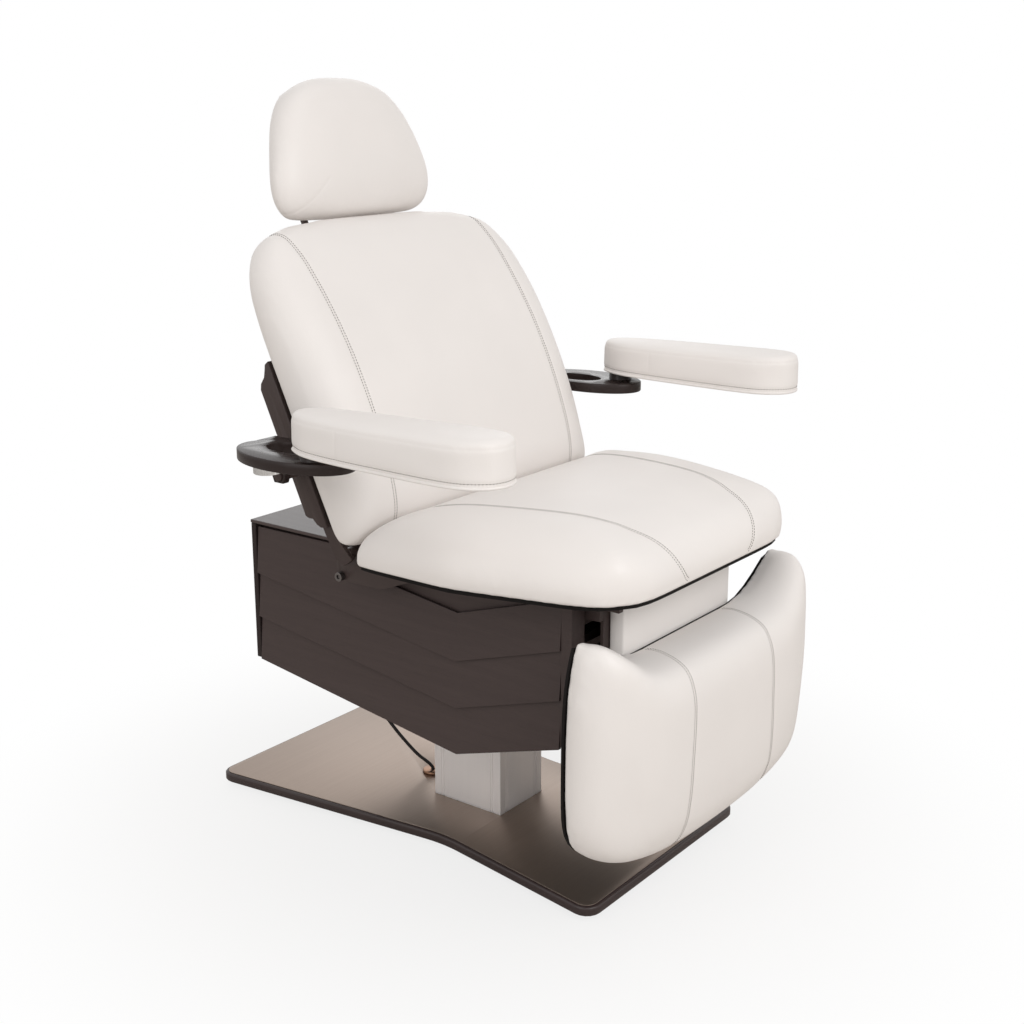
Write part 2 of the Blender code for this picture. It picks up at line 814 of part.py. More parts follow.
def seat_surface(reach, row, lift, dip):
    seam = 0.101 + 0.169 * max(0.0, (row + 1.0) / 2.0) ** 0.65
    slid = shift_seam(reach, 0.60, seam / seat_half(row))
    x, y = seat_plan(slid, row)
    crown = SEAT_CREST - 0.29 * (y + 0.300) ** 2
    return x, y, SEAT_LINE + GAP + lift * crown - dip


SEAT_ROLL = ((1.0, 0.0), (1.006, 0.22), (0.985, 0.47), (0.940, 0.68), (0.870, 0.85), (0.780, 0.96))
SEAT_FRONT_ROLL = (
    (1.0, 0.0), (1.002, 0.24), (0.978, 0.48), (0.915, 0.69), (0.80, 0.85), (0.62, 0.94), (0.42, 0.99)
)
SEAT_REAR_ROLL = (
    (1.0, 0.0), (1.003, 0.25), (0.980, 0.45), (0.930, 0.65), (0.850, 0.82), (0.740, 0.94), (0.50, 1.0)
)


def seat_rows():
    front = [(-reach, lift, 0.0) for reach, lift in SEAT_FRONT_ROLL]
    rear = [(reach, lift, 0.0) for reach, lift in SEAT_REAR_ROLL]
    return front + [(-0.15, 1.0, 0.0), (0.20, 1.0, 0.0)] + rear[::-1]


def build_seat():
    steps = [index / 10.0 for index in range(-10, 11)]
    inset = 0.007
    rim = [seat_plan(step, -1.0, inset) for step in steps]
    rim += [seat_plan(1.0, step, inset) for step in steps[1:]]
    rim += [seat_plan(step, 1.0, inset) for step in steps[-2::-1]]
    rim += [seat_plan(-1.0, step, inset) for step in steps[-2:0:-1]]
    prism("seat_board", rim, SEAT_BOARD_LOW, SEAT_LINE, "Z", LIFT, "black_board")
    cushion("seat_cushion", LIFT, across(SEAT_ROLL, 0.60, (0.30,)), seat_rows(), seat_surface)


# Back: drawn along its own lean, +z up the back and -y towards the sitter
BACK_LOW = 0.006
BACK_MID = BACK_LOW + BACK_LENGTH / 2.0
BOARD_BACK = 0.012
RAIL_IN = max(BACK_HALF - 0.0435, CHEEK_OUT + 0.030)
HINGE_ARM_IN = RAIL_IN - 0.0103
RAIL_THICK = 0.016
BACK_ROLL = ((0.930, 0.0), (0.990, 0.20), (1.0, 0.45), (0.980, 0.70), (0.925, 0.88), (0.850, 0.97))
BACK_TOP_ROLL = (
    (0.950, 0.0), (0.988, 0.22), (1.0, 0.48), (0.985, 0.70), (0.935, 0.87), (0.850, 0.96), (0.70, 1.0)
)
BACK_LOW_ROLL = ((0.955, 0.0), (0.998, 0.28), (1.0, 0.50), (0.975, 0.75), (0.920, 0.92), (0.800, 1.0))


def back_plan(reach, row, inset=0.0):
    corner = 0.165 if row > 0.0 else 0.024
    tall = 0.122 if row > 0.0 else 0.02
    x = (BACK_HALF - inset) * reach * (1.0 - corner * min(1.0, abs(row)) ** 5)
    z = (BACK_LENGTH / 2.0 - inset) * row * (1.0 - tall * min(1.0, abs(reach)) ** 5)
    return x, BACK_MID + z


def back_surface(reach, row, lift, dip):
    x, z = back_plan(reach, row)
    crown = BACK_CROWN - 0.53 * (z - 0.260) ** 2
    return x, -BOARD_BACK - lift * crown + dip, z


def build_back():
    steps = [index / 8.0 for index in range(-8, 9)]
    inset = 0.042
    rim = [back_plan(step, -1.0, inset) for step in steps]
    rim += [back_plan(1.0, step, inset) for step in steps[1:]]
    rim += [back_plan(step, 1.0, inset) for step in steps[-2::-1]]
    rim += [back_plan(-1.0, step, inset) for step in steps[-2:0:-1]]
    prism("back_board", rim, -BOARD_BACK + GAP, 0.0, "Y", BACK, "black_board")
    rows = [(-reach, lift, 0.0) for reach, lift in BACK_LOW_ROLL]
    rows += [(-0.45, 1.0, 0.0), (0.0, 1.0, 0.0), (0.4, 1.0, 0.0)]
    rows += [(reach, lift, 0.0) for reach, lift in BACK_TOP_ROLL[::-1]]
    cushion("back_cushion", BACK, across(BACK_ROLL, 0.745, (0.42,)), rows, back_surface)


RAIL_FRONT = 0.003
RAIL_REAR = 0.046
POST_X = 0.090
POST_Y = 0.034
POST_RADIUS = 0.007
SOCKET_LOW = 0.440
SOCKET_HIGH = 0.520


def rail_outline():
    """Side rail, scalloped at both ends: (y, z) along the back."""
    low = [
        (RAIL_FRONT, 0.056),
        (0.019, 0.060),
        (0.026, 0.068),
        (0.031, 0.080),
        (0.040, 0.084),
        (RAIL_REAR, 0.090),
    ]
    high = [
        (RAIL_REAR, 0.332),
        (0.040, 0.342),
        (0.027, 0.350),
        (0.020, 0.360),
        (0.014, 0.370),
        (RAIL_FRONT, 0.373),
    ]
    return low + high


def build_back_frame():
    tube = disc((0.0, 0.0), TUBE_RADIUS, 18)
    frame = prism("back_frame", tube, -HINGE_ARM_IN - 0.004, HINGE_ARM_IN + 0.004, "X", BACK, "dark_metal")
    joined = []
    for side, sign in SIDES:
        arm = [(-0.012, -0.014), (0.012, -0.018), (0.026, 0.000), (0.030, 0.060)]
        arm += [(0.030, 0.345), (GAP, 0.345), (GAP, 0.020)]
        joined.append(
            prism(
                f"hinge_arm_{side}",
                arm,
                sign * HINGE_ARM_IN,
                sign * (RAIL_IN - GAP),
                "X",
                BACK,
                helper=True,
            )
        )
    for name, height in (("low", 0.305), ("high", 0.323)):
        bar = (-HINGE_ARM_IN - 0.004, GAP, height), (HINGE_ARM_IN + 0.004, 0.026, height + 0.018)
        joined.append(block(f"back_bar_{name}", *bar, BACK, helper=True))
    socket = (-0.115, GAP, 0.330), (0.115, 0.052, SOCKET_HIGH)
    joined.append(block("headrest_socket", *socket, BACK, helper=True))
    turn = RECLINE_SWING / 2.0 + RECLINE_LEAN
    down = Vector((math.sin(turn), -math.cos(turn)))
    wide = Vector((down.y, -down.x)) * 0.011
    end = down * LEVER
    lever = [tuple(-wide), tuple(wide), tuple(end + wide), tuple(end + down * 0.010), tuple(end - wide)]
    joined.append(prism("recline_lever", lever, -ROD_X - 0.015, -ROD_X - 0.008, "X", BACK, helper=True))
    pin = disc(tuple(end), 0.0045, 12)
    joined.append(prism("recline_pin", pin, -ROD_X - 0.012, -ROD_X + 0.010, "X", BACK, helper=True))
    join(frame, *joined)
    for side, sign in SIDES:
        bore = disc((sign * POST_X, POST_Y), POST_RADIUS + GAP, 14)
        cut(frame, prism(f"post_bore_{side}", bore, 0.30, 0.60, "Z", BACK, helper=True))


def build_rails():
    for side, sign in SIDES:
        rail = prism(
            f"arm_rail_{side}",
            rail_outline(),
            sign * RAIL_IN,
            sign * (RAIL_IN + RAIL_THICK),
            "X",
            BACK,
            "dark_metal",
            0.002,
        )
        pin = disc((ARM_BEHIND, ARM_ALONG), 0.009, 16)
        join(
            rail, prism(
                f"arm_pin_{side}",
                pin,
                sign * (RAIL_IN + 0.004),
                sign * (RAIL_IN + RAIL_THICK + 0.0510),
                "X",
                BACK,
                helper=True,
            )
        )


# Headrest on two posts
HEAD_LOW = 0.6225
HEAD_MID = HEAD_LOW + HEAD_LENGTH / 2.0
HEAD_ROLL = ((0.810, 0.0), (0.920, 0.20), (0.982, 0.40), (1.0, 0.58), (0.950, 0.78), (0.820, 0.925))
HEAD_LONG_ROLL = ((0.890, 0.0), (0.978, 0.20), (1.0, 0.40), (0.980, 0.62), (0.910, 0.80), (0.770, 0.93))


def head_surface(reach, row, lift, dip):
    slope = 0.13 * (row + 1.0) + 0.09 * max(0.0, row + 0.4) ** 1.25
    taper = 1.0 - slope - 0.17 * max(0.0, row) ** 6
    rounding, drop = (0.10, 0.14) if row > 0.0 else (0.18, 0.08)
    wide = 1.0 + 0.08 * (1.0 - lift) * max(0.0, row + 0.2)
    x = HEAD_HALF * reach * wide * taper * (1.0 - rounding * min(1.0, abs(row)) ** 4)
    z = HEAD_LENGTH / 2.0 * row * (1.0 - drop * min(1.0, abs(reach)) ** 4)
    hollow = 0.10 * reach * reach + 0.08 * row * row + 0.32 * reach * reach * max(0.0, -row) ** 2
    crown = HEAD_CROWN * (1.0 - hollow)
    return x, -HEAD_TILT_Y - lift * crown + dip, HEAD_MID - HEAD_TILT_Z + z


def build_headrest():
    for side, sign in SIDES:
        route = disc((sign * POST_X, POST_Y), POST_RADIUS, 14)
        prism(
            f"headrest_post_{side}",
            route,
            SOCKET_LOW - 0.03,
            HEAD_TILT_Z + 0.030,
            "Z",
            HEAD_SLIDE,
            "dark_metal",
        )
    block(
        "headrest_bracket",
        (-0.112, 0.0075, HEAD_TILT_Z - 0.016),
        (0.112, 0.052, HEAD_TILT_Z + 0.016),
        HEAD_SLIDE,
        "dark_metal",
    )
    bracket = bpy.data.objects["headrest_bracket"]
    for side, sign in SIDES:
        bore = disc((sign * POST_X, POST_Y), POST_RADIUS + GAP, 14)
        cut(bracket, prism(f"bracket_bore_{side}", bore, 0.60, 0.90, "Z", HEAD_SLIDE, helper=True))
    slot = block(
        "bracket_slot",
        (-0.062, -0.01, HEAD_TILT_Z - 0.03),
        (0.062, 0.034, HEAD_TILT_Z + 0.03),
        HEAD_SLIDE,
        helper=True,
    )
    cut(bracket, slot)
    hinge = prism("headrest_hinge", disc((0.0, 0.0), 0.0075, 16), -0.0615, 0.0615, "X", HEAD, "dark_metal")
    plate = block(
        "headrest_hinge_plate",
        (-0.058, -HEAD_TILT_Y + GAP, -0.060),
        (0.058, -0.0080, 0.060),
        HEAD,
        helper=True,
    )
    web = block("headrest_hinge_web", (-0.058, -0.012, -0.006), (0.058, 0.004, 0.006), HEAD, helper=True)
    join(hinge, plate, web)
    half = [(reach, lift, 0.0) for reach, lift in HEAD_ROLL] + [(0.50, 1.0, 0.0), (0.25, 1.0, 0.0)]
    long_half = [(reach, lift, 0.0) for reach, lift in HEAD_LONG_ROLL] + [(0.45, 1.0, 0.0)]
    cushion("headrest_cushion", HEAD, mirrored(half), mirrored(long_half), head_surface)


# Leg rest: frame, white panel, board and cushion
LEG_PANEL_FRONT = -0.433
LEG_PANEL_THICK = 0.030
LEG_PANEL_HALF = BRACKET_IN - 0.018
FOOT_BOARD_THICK = 0.0045
FOOT_BACK = LEG_PANEL_FRONT - 2.0 * GAP - FOOT_BOARD_THICK


def foot_top(x):
    """Upper edge of the leg rest: hollowed to nest round the seat's front."""
    side = min(1.0, max(0.0, (abs(x) - 0.170) / 0.150))
    return 0.484 + 0.075 * side ** 1.7


def foot_plan(reach, row, inset=0.0):
    corner = 0.12 * row ** 6 if row < 0.0 else 0.075 * row ** 3
    x = (FOOT_HALF - inset) * reach * (1.0 - min(0.12, corner))
    bottom = FOOT_BOTTOM + inset + 0.042 * min(1.0, abs(reach)) ** 4
    top = foot_top(x) - inset
    if row > 0.0:
        top -= 0.012 * min(1.0, abs(reach)) ** 12
    return x, bottom + (top - bottom) * (row + 1.0) / 2.0


FOOT_ROLL = (
    (0.985, 0.0), (1.0, 0.20), (0.992, 0.40), (0.958, 0.61),
    (0.892, 0.79), (0.785, 0.915), (0.640, 0.985),
)
FOOT_TOP_ROLL = (
    (1.0, 0.0), (1.005, 0.25), (0.990, 0.50), (0.930, 0.74), (0.830, 0.90), (0.650, 0.97), (0.40, 1.0)
)
FOOT_LOW_ROLL = (
    (0.960, 0.0), (1.0, 0.30), (0.995, 0.55), (0.940, 0.75), (0.840, 0.88), (0.650, 0.96), (0.35, 1.0)
)


def foot_surface(reach, row, lift, dip):
    slid = shift_seam(reach, 0.42, (0.143 - 0.012 * row) / FOOT_HALF)
    x, z = foot_plan(slid, row)
    spread = min(1.0, abs(reach)) ** 2
    crown = FOOT_CROWN * (1.0 - 0.08 * spread - 0.20 * spread * max(0.0, -row) ** 1.5)
    return x, FOOT_BACK - GAP - lift * crown + dip, z


def build_leg():
    lug_in = BRACKET_IN - 0.0110
    lug_out = BRACKET_IN - 0.0010
    back = LEG_PANEL_FRONT + LEG_PANEL_THICK + GAP
    frame = block("leg_frame", (-lug_out, back, 0.300), (lug_out, back + 0.006, 0.556), LEG, "dark_metal")
    joined = []
    for side, sign in SIDES:
        lug = [(back + 0.006, 0.470), (back + 0.006, 0.566), (LEG_HINGE_Y + 0.012, LEG_HINGE_Z + 0.010)]
        lug += [(LEG_HINGE_Y - 0.004, LEG_HINGE_Z + 0.012), (LEG_HINGE_Y - 0.012, LEG_HINGE_Z)]
        lug += [(LEG_HINGE_Y - 0.009, LEG_HINGE_Z - 0.0095), (back, LEG_HINGE_Z - 0.0095), (back, 0.470)]
        joined.append(prism(f"leg_lug_{side}", lug, sign * lug_in, sign * lug_out, "X", LEG, helper=True))
    swing = LEG_SWING / 2.0
    pin = (LEG_HINGE_Y + LEG_LEVER * math.sin(swing), LEG_HINGE_Z - LEG_LEVER * math.cos(swing))
    lever = [(back + 0.003, pin[1] - 0.016), (pin[0] + 0.006, pin[1] - 0.011), (pin[0] + 0.010, pin[1])]
    lever += [(pin[0] + 0.006, pin[1] + 0.011), (back + 0.003, pin[1] + 0.016)]
    joined.append(prism("leg_lever", lever, ROD_X + 0.008, ROD_X + 0.015, "X", LEG, helper=True))
    pin_shape = prism("leg_pin", disc(pin, 0.0045, 12), ROD_X - 0.010, ROD_X + 0.012, "X", LEG, helper=True)
    join(frame, *joined)
    bore = disc((LEG_HINGE_Y, LEG_HINGE_Z), 0.0063, 14)
    window = block(
        "leg_rod_window",
        (ROD_X - 0.016, back - 0.01, pin[1] - 0.034),
        (ROD_X + 0.0075, back + 0.02, pin[1] + 0.026),
        LEG,
        helper=True,
    )
    cut(frame, prism("leg_lug_bore", bore, -CABINET_HALF, CABINET_HALF, "X", LEG, helper=True), window)
    join(frame, pin_shape)
    panel = block(
        "leg_panel",
        (-LEG_PANEL_HALF, LEG_PANEL_FRONT, 0.200),
        (LEG_PANEL_HALF, LEG_PANEL_FRONT + LEG_PANEL_THICK, LEG_HINGE_Z - 0.0110),
        LEG,
        "white_vinyl",
        0.004,
    )
    pocket = (ROD_X - 0.016, back - 0.012, pin[1] - 0.045), (ROD_X + 0.016, back + 0.01, pin[1] + 0.040)
    cut(panel, block("leg_panel_pocket", *pocket, LEG, helper=True))
    steps = [index / 10.0 for index in range(-10, 11)]
    inset = 0.003
    rim = [foot_plan(step, -0.99, inset) for step in steps]
    rim += [foot_plan(1.0, step * 0.99, inset) for step in steps[1:]]
    rim += [foot_plan(step, 0.99, inset) for step in steps[-2::-1]]
    rim += [foot_plan(-1.0, step * 0.99, inset) for step in steps[-2:0:-1]]
    prism("leg_rest_board", rim, FOOT_BACK, FOOT_BACK + FOOT_BOARD_THICK, "Y", LEG, "black_board")
    rows = [(-reach, lift, 0.0) for reach, lift in FOOT_LOW_ROLL] + [(0.0, 1.0, 0.0)]
    rows += [(reach, lift, 0.0) for reach, lift in FOOT_TOP_ROLL[::-1]]
    cushion("leg_rest_cushion", LEG, across(FOOT_ROLL, 0.42, (0.21,)), rows, foot_surface)


# Arms: ring plate on the rail's pin, pad on the plate's boss, clamp knob below
PLATE_THICK = 0.020
RING_Y = 0.066
LUG_IN = RAIL_IN + RAIL_THICK + 0.0345
LUG_OUT = LUG_IN + 0.014
RING_OUT = ARM_X + 0.0485
RING_X = (LUG_IN + RING_OUT) / 2.0
RING_HALF = (RING_OUT - LUG_IN) / 2.0
PAD_BOTTOM = ARM_PLATE_TOP + 0.0155
PAD_X = ARM_X + 0.002
PAD_REAR = 0.038
PAD_ROLL = ((0.960, 0.0), (0.995, 0.10), (1.0, 0.45), (0.985, 0.80), (0.900, 0.95), (0.650, 0.99))
PAD_END_ROLL = ((0.985, 0.0), (0.998, 0.10), (1.0, 0.45), (0.994, 0.80), (0.970, 0.95), (0.900, 0.99))


def pad_surface(sign):
    def surface(reach, row, lift, dip):
        half = 0.0615 - 0.0055 * row - 0.0100 * max(0.0, row) ** 2
        x = half * reach * (1.0 - 0.40 * min(1.0, abs(row)) ** 7)
        y = PAD_LENGTH / 2.0 * row * (1.0 - 0.09 * min(1.0, abs(reach)) ** 2.5)
        crown = PAD_HEIGHT * (1.0 - 0.06 * row) * (1.0 - 0.05 * reach * reach)
        return sign * PAD_X + x, PAD_REAR - PAD_LENGTH / 2.0 + y, PAD_BOTTOM + lift * crown - dip

    return surface


def build_arm(side, sign):
    level = ARM_LEVEL[side]
    ring = [(sign * x, y) for x, y in oval((RING_X, RING_Y), RING_HALF, 0.124)]
    low = ARM_PLATE_TOP - PLATE_THICK
    plate = prism(f"arm_plate_{side}", ring, low, ARM_PLATE_TOP, "Z", level, "dark_metal", 0.002)
    lug = [(ARM_AXIS[0] - 0.016, ARM_AXIS[1]), (ARM_AXIS[0] - 0.011, ARM_AXIS[1] - 0.012)]
    lug += [(ARM_AXIS[0] + 0.011, ARM_AXIS[1] - 0.012), (ARM_AXIS[0] + 0.016, ARM_AXIS[1])]
    lug += [(ARM_AXIS[0] + 0.016, low + 0.012), (ARM_AXIS[0] - 0.020, low + 0.012)]
    arm_lug = prism(f"arm_lug_{side}", lug, sign * LUG_IN, sign * LUG_OUT, "X", level, helper=True)
    ear_low, ear_high = sorted((sign * LUG_IN, sign * (LUG_IN + 0.0455)))
    ear = block(
        f"arm_ear_{side}",
        (ear_low, ARM_AXIS[0] - 0.022, low + 0.001),
        (ear_high, ARM_AXIS[0] + 0.018, ARM_PLATE_TOP - 0.001),
        level,
        helper=True,
    )
    boss = prism(
        f"arm_boss_{side}",
        disc((sign * ARM_X, 0.0), 0.024),
        ARM_PLATE_TOP - 0.006,
        PAD_BOTTOM - GAP,
        "Z",
        level,
        helper=True,
    )
    join(plate, arm_lug, ear, boss)
    hole = [(sign * x, y) for x, y in oval((RING_X - 0.016, RING_Y + 0.020), 0.468 * RING_HALF, 0.058, 48)]
    opening = prism(f"arm_opening_{side}", hole, low - 0.02, ARM_PLATE_TOP + 0.02, "Z", level, helper=True)
    pivot = prism(
        f"arm_pivot_cut_{side}",
        disc(ARM_AXIS, 0.009 + GAP, 16),
        sign * (LUG_IN - 0.0095),
        sign * (LUG_OUT + 0.0045),
        "X",
        level,
        helper=True,
    )
    cut(plate, opening, pivot)
    knob = disc((sign * KNOB_X, KNOB_Y), 0.0235, 32)
    prism(f"arm_knob_{side}", knob, low - 0.013, low - GAP, "Z", ARM_KNOB[side], "silver", 0.002)
    half = [(reach, lift, 0.0) for reach, lift in PAD_ROLL]
    long_half = [(reach, lift, 0.0) for reach, lift in PAD_END_ROLL] + [(0.72, 1.0, 0.0), (0.36, 1.0, 0.0)]
    cushion(f"arm_pad_{side}", ARM_PAD[side], mirrored(half), mirrored(long_half), pad_surface(sign))


# Linear drives: one pulls the recline lever, one pushes the leg rest
def build_drives():
    back_eye = RECLINE_Y + LEVER * math.sin(RECLINE_SWING / 2.0)
    drive("back", -ROD_X, 0.522, back_eye, -0.262, -0.250, -0.005, LIFT, BACK_ROD)
    leg_eye = LEG_HINGE_Y + LEG_LEVER * math.sin(LEG_SWING / 2.0)
    drive("leg", ROD_X, 0.5115, leg_eye, 0.160, 0.150, -0.205, LIFT, LEG_ROD)


def drive(name, x, height, eye, tail, start, mouth, body, rod_body):
    """A motor and its tube along y, and a rod with a slotted end that leaves room for the lever's pin."""
    ahead = math.copysign(1.0, mouth - start)
    tube = prism(f"{name}_drive", disc((x, height), 0.0145, 16), start, mouth, "Y", body, "steel")
    motor = block(
        f"{name}_motor",
        (x - 0.034, min(tail, tail + ahead * 0.070), CHASSIS_LOW + BAR_HEIGHT + GAP),
        (x + 0.034, max(tail, tail + ahead * 0.070), 0.566),
        body,
        helper=True,
    )
    join(tube, motor)
    bore = prism(
        f"{name}_drive_bore",
        disc((x, height), 0.0086, 14),
        mouth - ahead * 0.165,
        mouth + ahead * 0.05,
        "Y",
        body,
        helper=True,
    )
    cut(tube, bore)
    rod = prism(
        f"{name}_rod",
        disc((x, height), 0.0080, 14),
        mouth - ahead * 0.060,
        eye - ahead * 0.010,
        "Y",
        rod_body,
        "silver",
    )
    head = block(
        f"{name}_rod_eye",
        (x - 0.0055, eye - 0.012, height - 0.0205),
        (x + 0.0055, eye + 0.012, height + 0.0205),
        rod_body,
        helper=True,
    )
    join(rod, head)
    slot = block(
        f"{name}_rod_slot",
        (x - 0.03, eye - 0.0075, height - 0.0172),
        (x + 0.03, eye + 0.0075, height + 0.0172),
        rod_body,
        helper=True,
    )
    cut(rod, slot)


def build_cord():
    low = SHEET_TOP + 0.001
    route = [
        (GLAND[0], GLAND[1], low),
        (GLAND[0], GLAND[1], low + 0.006),
        (GLAND[0], GLAND[1], low + 0.012),
        (-0.016, 0.172, 0.070),
        (-0.038, 0.205, 0.118),
        (-0.056, 0.236, 0.168),
        (-0.070, 0.258, 0.230),
        (-0.080, 0.272, CONTROL_LOW - 0.056),
        (-0.084, 0.276, CONTROL_LOW - 0.018),
        (-0.084, 0.276, CONTROL_LOW - 0.009),
        (-0.084, 0.276, CONTROL_LOW - GAP),
    ]
    pipe("power_cord", route, CORD_RADIUS, BASE, "black_rubber")


build_base()
build_column()
build_cabinet()
build_chassis()
build_seat_frame()
build_cheeks()
build_seat()
build_back()
build_back_frame()
build_rails()
build_headrest()
build_leg()
for arm_side, arm_sign in SIDES:
    build_arm(arm_side, arm_sign)
build_drives()
build_cord()
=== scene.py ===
"""Spa treatment chair: covers, finishes, cord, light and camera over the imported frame."""

import math

import bpy
import numpy as np
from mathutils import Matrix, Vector
from mathutils.bvhtree import BVHTree
from mathutils.kdtree import KDTree


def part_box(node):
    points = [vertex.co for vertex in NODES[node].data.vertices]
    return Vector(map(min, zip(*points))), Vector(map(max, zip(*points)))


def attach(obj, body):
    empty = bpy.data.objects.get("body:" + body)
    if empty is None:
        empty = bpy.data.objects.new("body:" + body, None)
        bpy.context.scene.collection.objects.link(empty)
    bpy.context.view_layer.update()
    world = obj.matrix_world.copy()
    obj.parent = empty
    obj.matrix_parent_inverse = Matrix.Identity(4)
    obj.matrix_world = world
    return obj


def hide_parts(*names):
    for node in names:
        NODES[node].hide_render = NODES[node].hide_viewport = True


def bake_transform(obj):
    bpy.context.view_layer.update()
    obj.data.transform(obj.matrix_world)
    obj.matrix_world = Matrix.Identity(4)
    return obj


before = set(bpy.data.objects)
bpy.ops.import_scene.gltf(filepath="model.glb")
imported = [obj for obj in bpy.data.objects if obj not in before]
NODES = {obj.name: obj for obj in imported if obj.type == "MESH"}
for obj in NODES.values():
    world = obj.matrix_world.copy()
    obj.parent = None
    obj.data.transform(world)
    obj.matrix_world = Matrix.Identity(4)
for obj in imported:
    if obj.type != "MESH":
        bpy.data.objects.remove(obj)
SCENE = bpy.context.scene
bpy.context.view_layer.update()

# Driving sizes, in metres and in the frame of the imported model
COLUMN_Y = 0.02095
SEAT_MID_Y = -0.250 + COLUMN_Y
SEAT_LINE = 0.6030
RECLINE_Y = 0.075 + COLUMN_Y
RECLINE_Z = 0.600
RECLINE_LEAN = math.radians(25.0)
HEAD_LEAN = math.radians(16.0)
HEAD_TILT = (0.735, -0.020)
FOOT_BACK = -0.4381 + COLUMN_Y

# Arm pads: place, hem, welt and the cord at their foot
PAD_X = 0.464
PAD_MID_Y = -0.184 + COLUMN_Y
PAD_SLOPE = 0.016
PAD_BOTTOM = 0.8295
PAD_SEAM_Y = -0.105 + COLUMN_Y
PAD_HEM = 0.0105
PAD_WELT = 0.0600
PAD_PITCH = 0.0056
PAD_HEM_DEPTH = 0.0008
PAD_HEM_WIDTH = 0.0035
PAD_WELT_DEPTH = 0.0006
PAD_WELT_WIDTH = 0.0030
PAD_PIPING_LIFT = 0.0032
PAD_PIPING = 0.0026

# Covers: the net's step, how far they swell and how often they are faired
COVER_NET = 0.0075
COVER_CAP = 0.003
HEAD_NET = 0.0060
PAD_NET = 0.0045
PAD_CAP = 0.002
SEAT_FAIRING = 40
BACK_FAIRING = 60
LEG_FAIRING = 70
HEAD_FAIRING = 110
SWELL_FRAMES = 20
GLUED_FULLY = 0.006
GLUED_SIDE = 0.020
FAIR_START = 0.002
FAIR_FADE = 0.012
FLAT_WITHIN = 0.0002
MERGE = 0.00005

# Seams, piping and stitches
SEAM_DEPTH = 0.0012
SEAM_WIDTH = 0.0050
SEAM_STEP = 0.0015
SEAT_SEAM_FRONT = 0.101
SEAT_SEAM_SPREAD = 0.169
SEAT_SEAM_SWEEP = 0.63
BACK_SEAM = 0.270
BACK_SEAM_HEART = (0.30, 0.016)
LEG_SEAM_TOP = 0.131
LEG_SEAM_SPREAD = 0.024
LEG_SEAM_HEART = 0.33
SEAM_LIFT = 0.003
PIPING_LIFT = 0.0006
SEAT_PIPING = 0.0011
LEG_PIPING = 0.0013
TUCK_DEPTH = 0.0008
TUCK_WIDTH = 0.0024
STITCH_PITCH = 0.0052
STITCH_LENGTH = 0.0038
STITCH_RADIUS = 0.00055
ROW_APART = 0.0031

# Lead, knobs and the column's grooves
CORD_RADIUS = 0.0035
LEAD_PITCH = 0.006
LEAD_EASE = 8
KNURL_GAP = 0.00045
KNURL_HEIGHT = 0.0007
KNOB_MARGIN = 0.0008
KNOB_RIM = 0.003
KNOB_STEP = 0.0012
KNOB_DISH = 0.0010
GROOVE_INSET = 0.018
GROOVE_WIDTH = 0.0032

# Floor, sky and camera
FLOOR_TONE = (0.66, 0.625, 0.590)
SHADOW_NEAR = 0.35
SHADOW_FAR = 1.20
NEAR_GLOW = 0.80
SKY_LIGHT = 0.65
SKY_TINT = (1.0, 0.985, 0.970)
CAMERA_PLACE = (-2.200, -1.70385, 1.400)
CAMERA_AIM = (0.7682, 0.5812, -0.2683)
CAMERA_LENS = 52.96

# Sides and directions
SIDES = (("left", 1.0), ("right", -1.0))
BACK_UP = Vector((0.0, math.sin(RECLINE_LEAN), math.cos(RECLINE_LEAN)))
BACK_OUT = Vector((0.0, -math.cos(RECLINE_LEAN), math.sin(RECLINE_LEAN)))
HEAD_UP = Vector((0.0, math.sin(HEAD_LEAN), math.cos(HEAD_LEAN)))
HEAD_OUT = Vector((0.0, -math.cos(HEAD_LEAN), math.sin(HEAD_LEAN)))
ASIDE = Vector((1.0, 0.0, 0.0))
UP = Vector((0.0, 0.0, 1.0))
FORWARD = Vector((0.0, -1.0, 0.0))


def back_point(x, along, out):
    """A point given along the leaning back, in the frame."""
    return Vector((x, RECLINE_Y, RECLINE_Z)) + BACK_UP * along + BACK_OUT * out


# Shader maths
class Wire:
    """A socket that takes part in sums."""

    def __init__(self, finish, socket):
        self.finish = finish
        self.socket = socket

    def math(self, operation, first, second):
        return self.finish.node("ShaderNodeMath", {"operation": operation}, {0: first, 1: second})

    def __add__(self, other):
        return self.math("ADD", self, other)

    def __radd__(self, other):
        return self.math("ADD", other, self)

    def __sub__(self, other):
        return self.math("SUBTRACT", self, other)

    def __rsub__(self, other):
        return self.math("SUBTRACT", other, self)

    def __mul__(self, other):
        return self.math("MULTIPLY", self, other)

    def __rmul__(self, other):
        return self.math("MULTIPLY", other, self)


